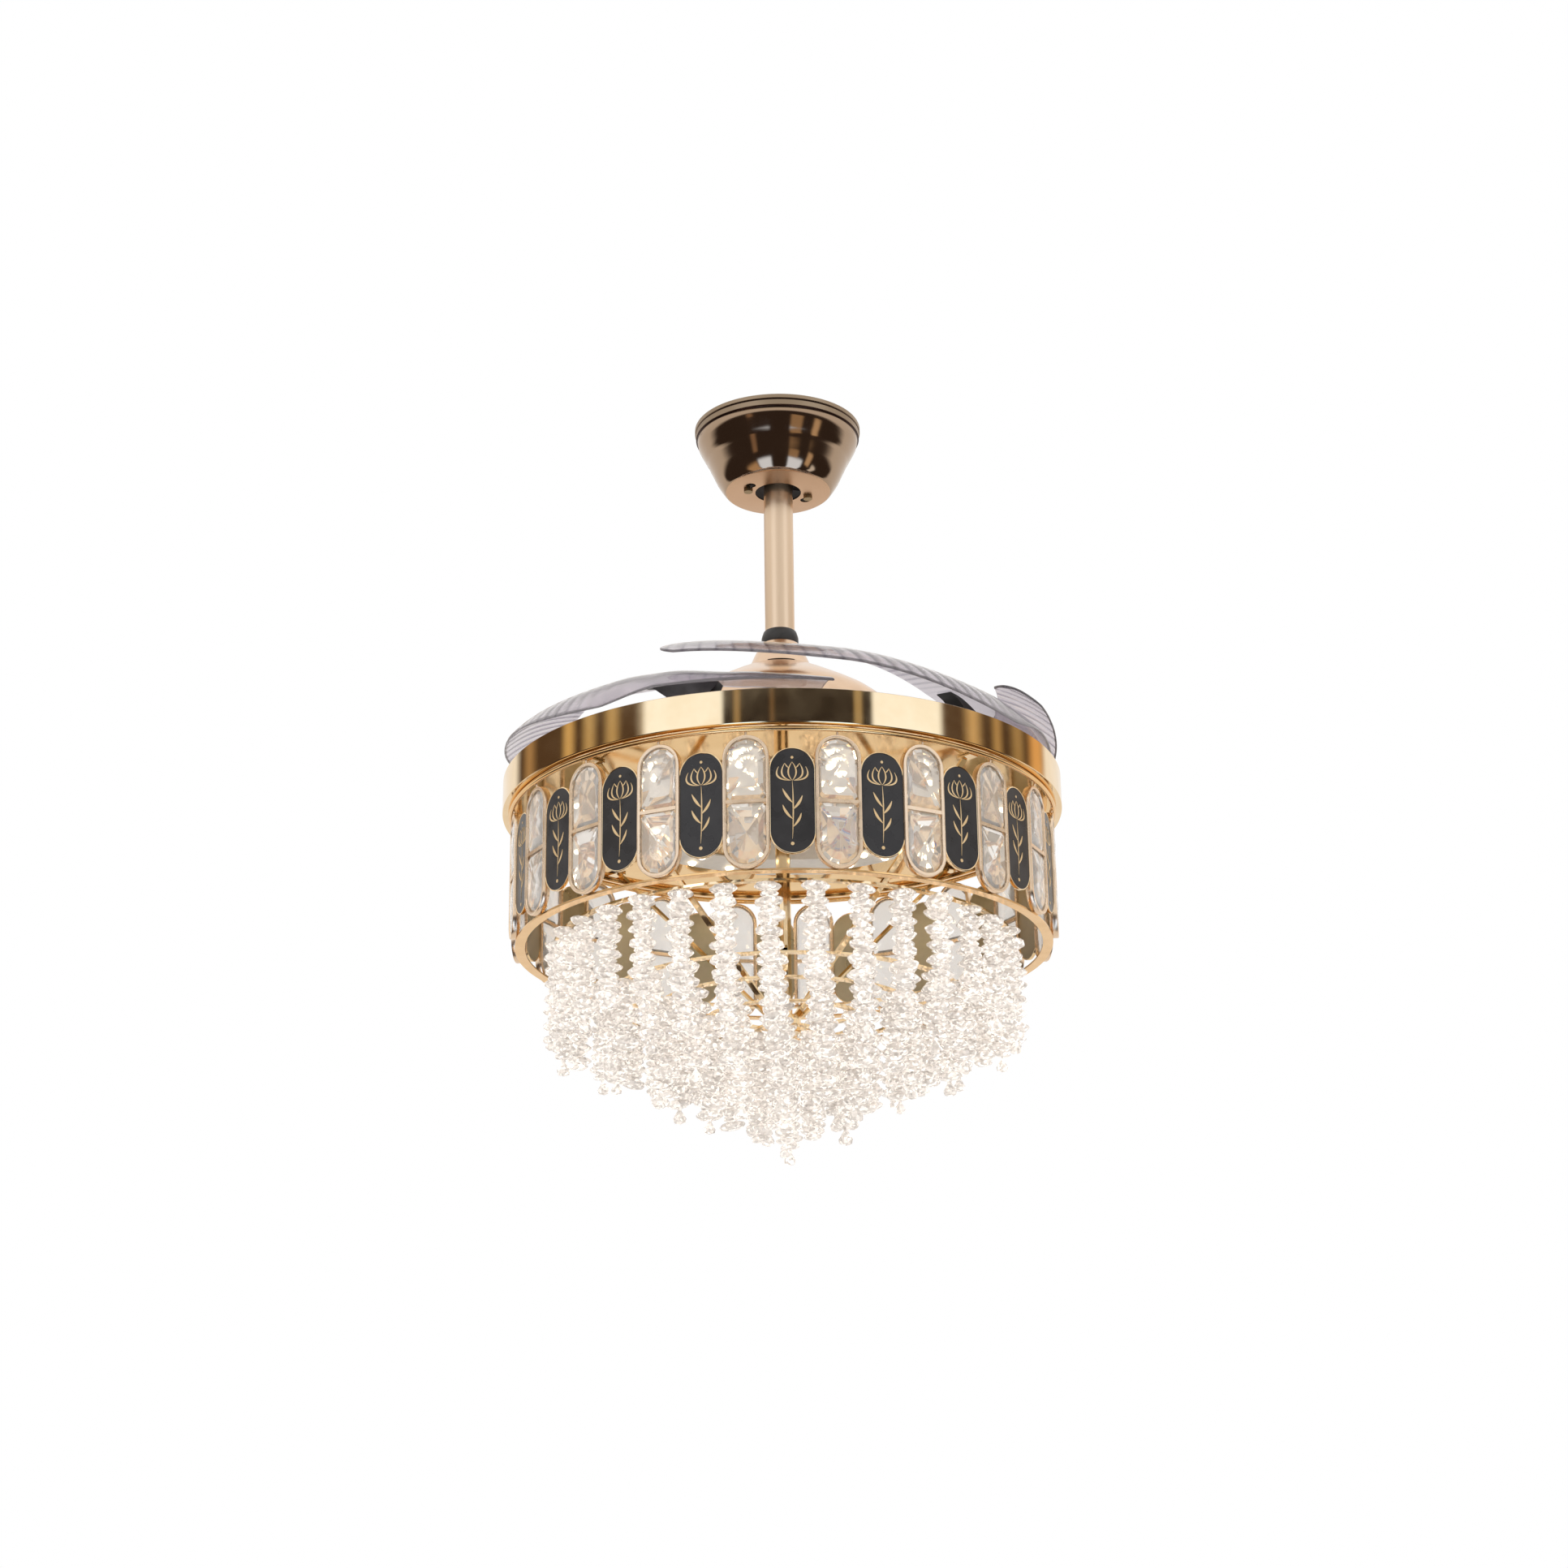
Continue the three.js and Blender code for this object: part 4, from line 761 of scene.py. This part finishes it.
# ---- Drum rings, gold frames and pins ----
# A round wire ring above and a flat ring below carry twenty oblong gold frames with domed ends.
# Each frame hangs on a short pin and has a bar across its middle.
FRAMES = 20
FRAME_STEP = 18.0
FIRST_PLATE = -87.93
PITCH_RADIUS = 238.5
FRAME_MIDDLE = -450.75
FRAME_WIDTH = 39.0
FRAME_HEIGHT = 114.5
PLATE_SIZE = (38.0, 91.0)


def oblong(width, height, steps=20):
    """A closed line with straight sides and half-round ends, as (across, up)."""
    a = np.linspace(0, np.pi, steps)
    top = np.column_stack([np.cos(a), np.sin(a)]) * width / 2 + (0, height / 2 - width / 2)
    return np.concatenate([top, -top])


def on_drum(skins, angle, radius=PITCH_RADIUS):
    """Stands skins made as (across, up, out) in mm in the drum's wall at an angle."""
    out = np.array([np.cos(radians(angle)), np.sin(radians(angle)), 0])
    across = np.array([-out[1], out[0], 0])
    up = np.array([0, 0, 1.0])
    placed = []
    for corners, faces in skins:
        at = (radius + corners[:, 2:3]) * out + corners[:, 0:1] * across + (FRAME_MIDDLE + corners[:, 1:2]) * up
        placed.append((at * 0.001, faces))
    return placed


def hoop_section(outline, half_wall, half_depth, steps=12):
    """A rounded flat section carried round an outline: the wall lies across it and the depth stands out of it."""
    ahead = np.roll(outline, -1, axis=0) - np.roll(outline, 1, axis=0)
    normal = np.column_stack([ahead[:, 1], -ahead[:, 0]])
    normal /= np.linalg.norm(normal, axis=1, keepdims=True)
    a = np.linspace(0, 2 * np.pi, steps, endpoint=False)
    wall = half_wall * np.sign(np.cos(a)) * np.abs(np.cos(a)) ** 0.5
    depth = half_depth * np.sign(np.sin(a)) * np.abs(np.sin(a)) ** 0.35
    flat = outline[:, None, :] + normal[:, None, :] * wall[None, :, None]
    grid = np.concatenate([flat, np.broadcast_to(depth[None, :, None], flat.shape[:2] + (1,))], axis=2)
    return skin(grid, True, True)


frame_hoop = hoop_section(oblong(FRAME_WIDTH - 3.4, FRAME_HEIGHT - 3.4), 1.7, 3.5)
frame_bar = slab(rounded_box_outline(34.0, 3.0, 0.8), -2.6, 2.9)
drum_skins = []
for number in range(FRAMES):
    frame_angle = FIRST_PLATE + (number + 0.5) * FRAME_STEP
    drum_skins += on_drum([frame_hoop, frame_bar], frame_angle)
    turn = radians(frame_angle)
    top = (240.9 * np.cos(turn), 240.9 * np.sin(turn), -389.5)
    bottom = (239.6 * np.cos(turn), 239.6 * np.sin(turn), -394.6)
    drum_skins.append(hose([top, bottom], 1.1, fine=2))
wire_angles = np.linspace(0, 2 * np.pi, 12, endpoint=False)
ring_skins = [
    lathe([(242.6 + 2.2 * np.cos(a), -389.2 + 2.2 * np.sin(a)) for a in wire_angles], 160),
    lathe([(228.2, -507.4), (236.8, -507.4), (237, -507.6), (237, -509.0), (236.8, -509.2), (228.2, -509.2),
           (228, -509.0), (228, -507.6)], 160),
]
pale_gold = vary(
    material("satin_pale_gold", Metallic=1.0), 70, (0.22, 0.32), ((0.88, 0.70, 0.52), (0.94, 0.77, 0.59)), 0.02
)
drum = piece("gold_drum", pale_gold, drum_skins, replaces=["drum_frame"])
deep_gold = vary(
    material("deep_gold", Metallic=1.0), 50, (0.14, 0.22), ((0.88, 0.58, 0.27), (0.94, 0.65, 0.34)), 0.01
)
piece("drum_rings", deep_gold, ring_skins)

# ---- Black plates and their gilt flowers ----
# Between the frames hang glossy black plates with a thin gold rim and a simple gilt flower on a leafy stem.
lacquer = vary(
    material("black_lacquer", Specular_IOR_Level=0.4), 60, (0.24, 0.34), ((0.016, 0.016, 0.018), (0.024, 0.024, 0.027)),
)
plate_face = slab(oblong(PLATE_SIZE[0] - 1.6, PLATE_SIZE[1] - 1.6, 28), -1.2, 1.2)
plate_rim = hoop_section(oblong(PLATE_SIZE[0] - 1.0, PLATE_SIZE[1] - 1.0, 28), 0.55, 1.5, 8)
plate_angles = [FIRST_PLATE + number * FRAME_STEP for number in range(FRAMES)]
faces_skins = [made for angle in plate_angles for made in on_drum([plate_face], angle)]
rim_skins = [made for angle in plate_angles for made in on_drum([plate_rim], angle)]
plates = piece("black_plates", lacquer, faces_skins)
bare_back = vary(
    material("bare_plate_back", Metallic=1.0), 50, (0.25, 0.4), ((0.44, 0.41, 0.31), (0.54, 0.50, 0.39)), 0.05
)
plates.data.materials.append(bare_back)
for face in plates.data.polygons:
    inwards = face.normal[0] * face.center[0] + face.normal[1] * face.center[1] < -0.1 * face.center.length
    face.material_index = int(inwards)
piece("plate_rims", gold, rim_skins)


def stroke(start, bend, end, width, steps=12):
    """A brush stroke: a curve from start to end pulled towards bend, widest in the middle and pointed at the ends."""
    start, bend, end = np.array(start, float), np.array(bend, float), np.array(end, float)
    t = np.linspace(0, 1, steps)[:, None]
    line = (1 - t) ** 2 * start + 2 * t * (1 - t) * bend + t**2 * end
    ahead = np.gradient(line, axis=0)
    normal = np.column_stack([ahead[:, 1], -ahead[:, 0]]) / np.linalg.norm(ahead, axis=1, keepdims=True)
    half = width / 2 * (0.18 + 0.82 * np.sin(np.pi * t))
    return slab(np.concatenate([line + normal * half, (line - normal * half)[::-1]]), 1.15, 1.42)


FLOWER_STROKES = [
    # start, bend, end, width
    ((0, 17), (-6.5, 24), (0, 33), 1.3), ((0, 17), (6.5, 24), (0, 33), 1.3),
    ((-1, 17), (-13, 20), (-6, 32), 1.4), ((1, 17), (13, 20), (6, 32), 1.4),
    ((-6, 32), (-4.5, 29), (-3, 28), 0.9), ((6, 32), (4.5, 29), (3, 28), 0.9),
    ((-2, 17), (-17, 18), (-11, 29), 1.5), ((2, 17), (17, 18), (11, 29), 1.5),
    ((0, 16.5), (1.2, -5), (-0.4, -33), 1.1),
    ((0, -2), (-5, 3), (-8, 10), 2.2), ((0, -8), (6, -3), (8, 4), 2.2),
    ((0, -16), (-6, -11), (-8, -4), 2.2), ((0, -23), (6, -17), (7, -11), 2.0),
]
flower = [stroke(*marks) for marks in FLOWER_STROKES]
flower += [slab(circle(0, 37, 1.2, 12), 1.15, 1.42), slab(circle(-0.4, -37, 1.5, 12), 1.15, 1.42)]
flower_skins = [made for angle in plate_angles for made in on_drum(flower, angle)]
gilt = vary(material("gilt", Metallic=1.0), 90, (0.45, 0.55), ((0.86, 0.64, 0.36), (0.94, 0.74, 0.46)))
piece("gilt_flowers", gilt, flower_skins, soften=0)

# ---- Cut crystals ----
# Each gold frame holds two clear crystals, one domed at the top and one at the bottom, cut with large
# triangular facets that meet at a raised centre.
CRYSTAL_WIDTH = 32.0
CRYSTAL_HALF = 53.6
CRYSTAL_START = 1.9


def cut_crystal(upward):
    """Rings of facets: the outline at mid-depth, a slightly smaller one in front and one turned by half a step
    behind, and a point in the middle of each. upward is 1 for the domed top and -1 for the domed bottom."""
    w = CRYSTAL_WIDTH / 2
    dome_top = CRYSTAL_HALF
    shoulder = dome_top - w
    corner = 3.0
    a = np.radians([0, 30, 60, 90, 120, 150, 180])
    arc = np.column_stack([w * np.cos(a), shoulder + w * np.sin(a)])
    foot = [(-w, 22), (-w, CRYSTAL_START + corner), (-w + corner, CRYSTAL_START), (-4, CRYSTAL_START),
            (4, CRYSTAL_START), (w - corner, CRYSTAL_START), (w, CRYSTAL_START + corner), (w, 22)]
    outline = np.concatenate([arc, foot])
    count = len(outline)
    centre = np.array([0, (dome_top + CRYSTAL_START) / 2])
    halfway = (outline + np.roll(outline, -1, axis=0)) / 2
    front = centre + (outline - centre) * 0.88
    back = centre + (halfway - centre) * 0.58
    flat = [(outline, -0.6), (outline, 1.2), (front, 2.6), (back, -2.6)]
    corners = np.concatenate([np.column_stack([ring, np.full(count, depth)]) for ring, depth in flat])
    corners = np.concatenate([corners, [(*centre, 4.4), (*centre, -3.0)]])
    step = np.arange(count)
    after = (step + 1) % count
    low, high, fore, aft = step, step + count, step + 2 * count, step + 3 * count
    low_next, high_next, fore_next, aft_next = after, after + count, after + 2 * count, after + 3 * count
    tip_front, tip_back = np.full(count, 4 * count), np.full(count, 4 * count + 1)
    triples = [
        (high, high_next, fore), (fore, high_next, fore_next), (low_next, low, aft), (low_next, aft, aft_next),
        (fore, fore_next, tip_front), (aft_next, aft, tip_back),
    ]
    faces = np.stack([low, low_next, high_next, high], axis=1).tolist()
    for triple in triples:
        faces += np.stack(triple, axis=1).tolist()
    corners[:, 1] *= upward
    return corners, faces


crystal = material("cut_crystal", IOR=1.54, Transmission_Weight=0.82)
vary(crystal, 12, (0.0, 0.02), ((1.0, 0.985, 0.97), (0.97, 0.95, 0.92)))
pair = [cut_crystal(1), cut_crystal(-1)]
for number in range(FRAMES):
    name = f"crystal_{number + 1:02d}"
    stones = piece(
        f"cut_{name}", crystal, on_drum(pair, FIRST_PLATE + (number + 0.5) * FRAME_STEP), soften=0, replaces=[name]
    )

# ---- Bead strands ----
# Clear lens-shaped beads are threaded close together on strings of growing length, with a drop at the end.
# Gold rings carry them: the outermost on the drum's lower ring, the others under the sloping arms.
TIER_RADII = [200, 156, 112, 68, 24]
TIER_STRANDS = [33, 25, 18, 11, 4]
TIER_TOPS = [-505.1] + [0.2 * radius - 585 for radius in TIER_RADII[1:]]
FIRST_STRAND = -93.2
BEAD_PITCH = 6.2
BEAD_SIDES = 8
BEAD_PROFILE = [(0.0, 3.7), (6.6, 3.4), (10.2, 2.2), (11.9, 0.7), (11.9, -0.7), (10.2, -2.2), (6.6, -3.4), (0.0, -3.7)]
DROP_PROFILE = [(0.0, 2.0), (2.0, 0.0), (1.6, -2.0), (3.2, -4.5), (5.6, -8.5), (4.8, -11.8), (0.0, -13.4)]
chance = np.random.default_rng(7)


def scattered(profile, places, swing, spread, sizes=1.0):
    """Copies of a small many-sided turned shape at places in mm, each tipped and sized a little by chance:
    a point is place + size (r cos a + h tip_x, r sin a + h tip_y, h - r cos a tip_x - r sin a tip_y)."""
    count = len(places)
    r, h = np.array(profile, float).T[:, :, None]
    a = np.linspace(0, 2 * np.pi, BEAD_SIDES, endpoint=False)[None, None, :] + chance.uniform(0, 6.28, (count, 1, 1))
    tip_x, tip_y = chance.normal(0, swing, (2, count, 1, 1))
    size = (1 + chance.normal(0, spread, (count, 1, 1))) * np.reshape(sizes, (-1, 1, 1))
    x, y = r * np.cos(a), r * np.sin(a)
    local = np.stack([x + h * tip_x, y + h * tip_y, h - x * tip_x - y * tip_y], axis=3) * size[..., None]
    at = (places[:, None, None, :] + local) * 0.001
    _, faces = skin(at[0], round_columns=True)
    rows = at[0].shape[0] * BEAD_SIDES
    every = (np.array(faces)[None] + (np.arange(count) * rows)[:, None, None]).reshape(-1, 4)
    return at.reshape(-1, 3), every.tolist()


# The emission is painted light: the beads glow faintly of themselves, though they hold no lamp.
beads_clear = material(
    "clear_beads", IOR=1.49, Transmission_Weight=0.5, Roughness=0.05, Emission_Color=(1.0, 0.93, 0.86)
)
tree = beads_clear.node_tree
shader = tree.nodes["Principled BSDF"]
# Many small cut faces: each cell of 2.5 mm turns the surface its own way.
# Each cell also has its own brightness, which is painted: a lighter or darker base colour and a faint glow stand in for
# glints on the facets.
cells = tree.nodes.new("ShaderNodeTexVoronoi")
cells.inputs["Scale"].default_value = 400
tree.links.new(tree.nodes.new("ShaderNodeTexCoord").outputs["Object"], cells.inputs["Vector"])
shift = tree.nodes.new("ShaderNodeVectorMath")
shift.operation = "MULTIPLY_ADD"
wire(tree, shift, cells.outputs["Color"], (1.3, 1.3, 1.3), (-0.65, -0.65, -0.65))
tilted = tree.nodes.new("ShaderNodeVectorMath")
wire(tree, tilted, tree.nodes.new("ShaderNodeNewGeometry").outputs["Normal"], shift.outputs[0])
level = tree.nodes.new("ShaderNodeVectorMath")
level.operation = "NORMALIZE"
wire(tree, level, tilted.outputs[0])
tree.links.new(level.outputs[0], shader.inputs["Normal"])
one = tree.nodes.new("ShaderNodeSeparateXYZ")
tree.links.new(cells.outputs["Color"], one.inputs[0])
painted_glow = sum_of(tree, "MULTIPLY", sum_of(tree, "POWER", one.outputs[0], 3.0), 0.72)
tree.links.new(painted_glow, shader.inputs["Emission Strength"])
tree.links.new(blend_colours(tree, one.outputs[1], (0.80, 0.76, 0.73), (0.98, 0.96, 0.94)), shader.inputs["Base Color"])
for tier, (tier_radius, count, top) in enumerate(zip(TIER_RADII, TIER_STRANDS, TIER_TOPS), 1):
    end = -(718 - 0.712 * tier_radius + 0.00086 * tier_radius**2)
    beads_each = int((top - 3 - end - 14) / BEAD_PITCH)
    strand_angle = np.radians(FIRST_STRAND + np.arange(count) * 360 / count)[:, None]
    lean = chance.normal(0, 0.012, (2, count, 1))
    drop_height = -np.arange(beads_each)[None, :] * BEAD_PITCH - 5
    stretch = 1 + chance.normal(0, 0.02, (count, 1))
    down = drop_height * stretch
    place_x = tier_radius * np.cos(strand_angle) + lean[0] * down + chance.normal(0, 0.7, down.shape)
    place_y = tier_radius * np.sin(strand_angle) + lean[1] * down + chance.normal(0, 0.7, down.shape)
    places = np.stack([place_x, place_y, top - 1 + down], axis=2)
    ends = places[::2, -1] - (0, 0, 4.0)
    sizes = np.where(np.arange(beads_each) % 2, 0.7, 1.0) * np.ones((count, 1))
    strands = piece(
        f"bead_strands_{tier}", beads_clear,
        [scattered(BEAD_PROFILE, places.reshape(-1, 3), 0.10, 0.05, sizes), scattered(DROP_PROFILE, ends, 0.05, 0.1)],
        soften=0, replaces=[f"strand_tier_{tier}"],
    )
    ring = [(tier_radius - 3, top), (tier_radius + 3, top), (tier_radius + 3, top - 2), (tier_radius - 3, top - 2)]
    tier_ring = piece(f"tier_ring_{tier}", gold, [lathe(ring)])

# ---- Tier frame and centre rod ----
# Four sloping arms on a hub carry the strand rings, and four stays tie the hub to the tray.
# A gold rod from the motor's shaft runs down through the hub to a nut.
dress(gold, "tier_frame", "centre_rod")
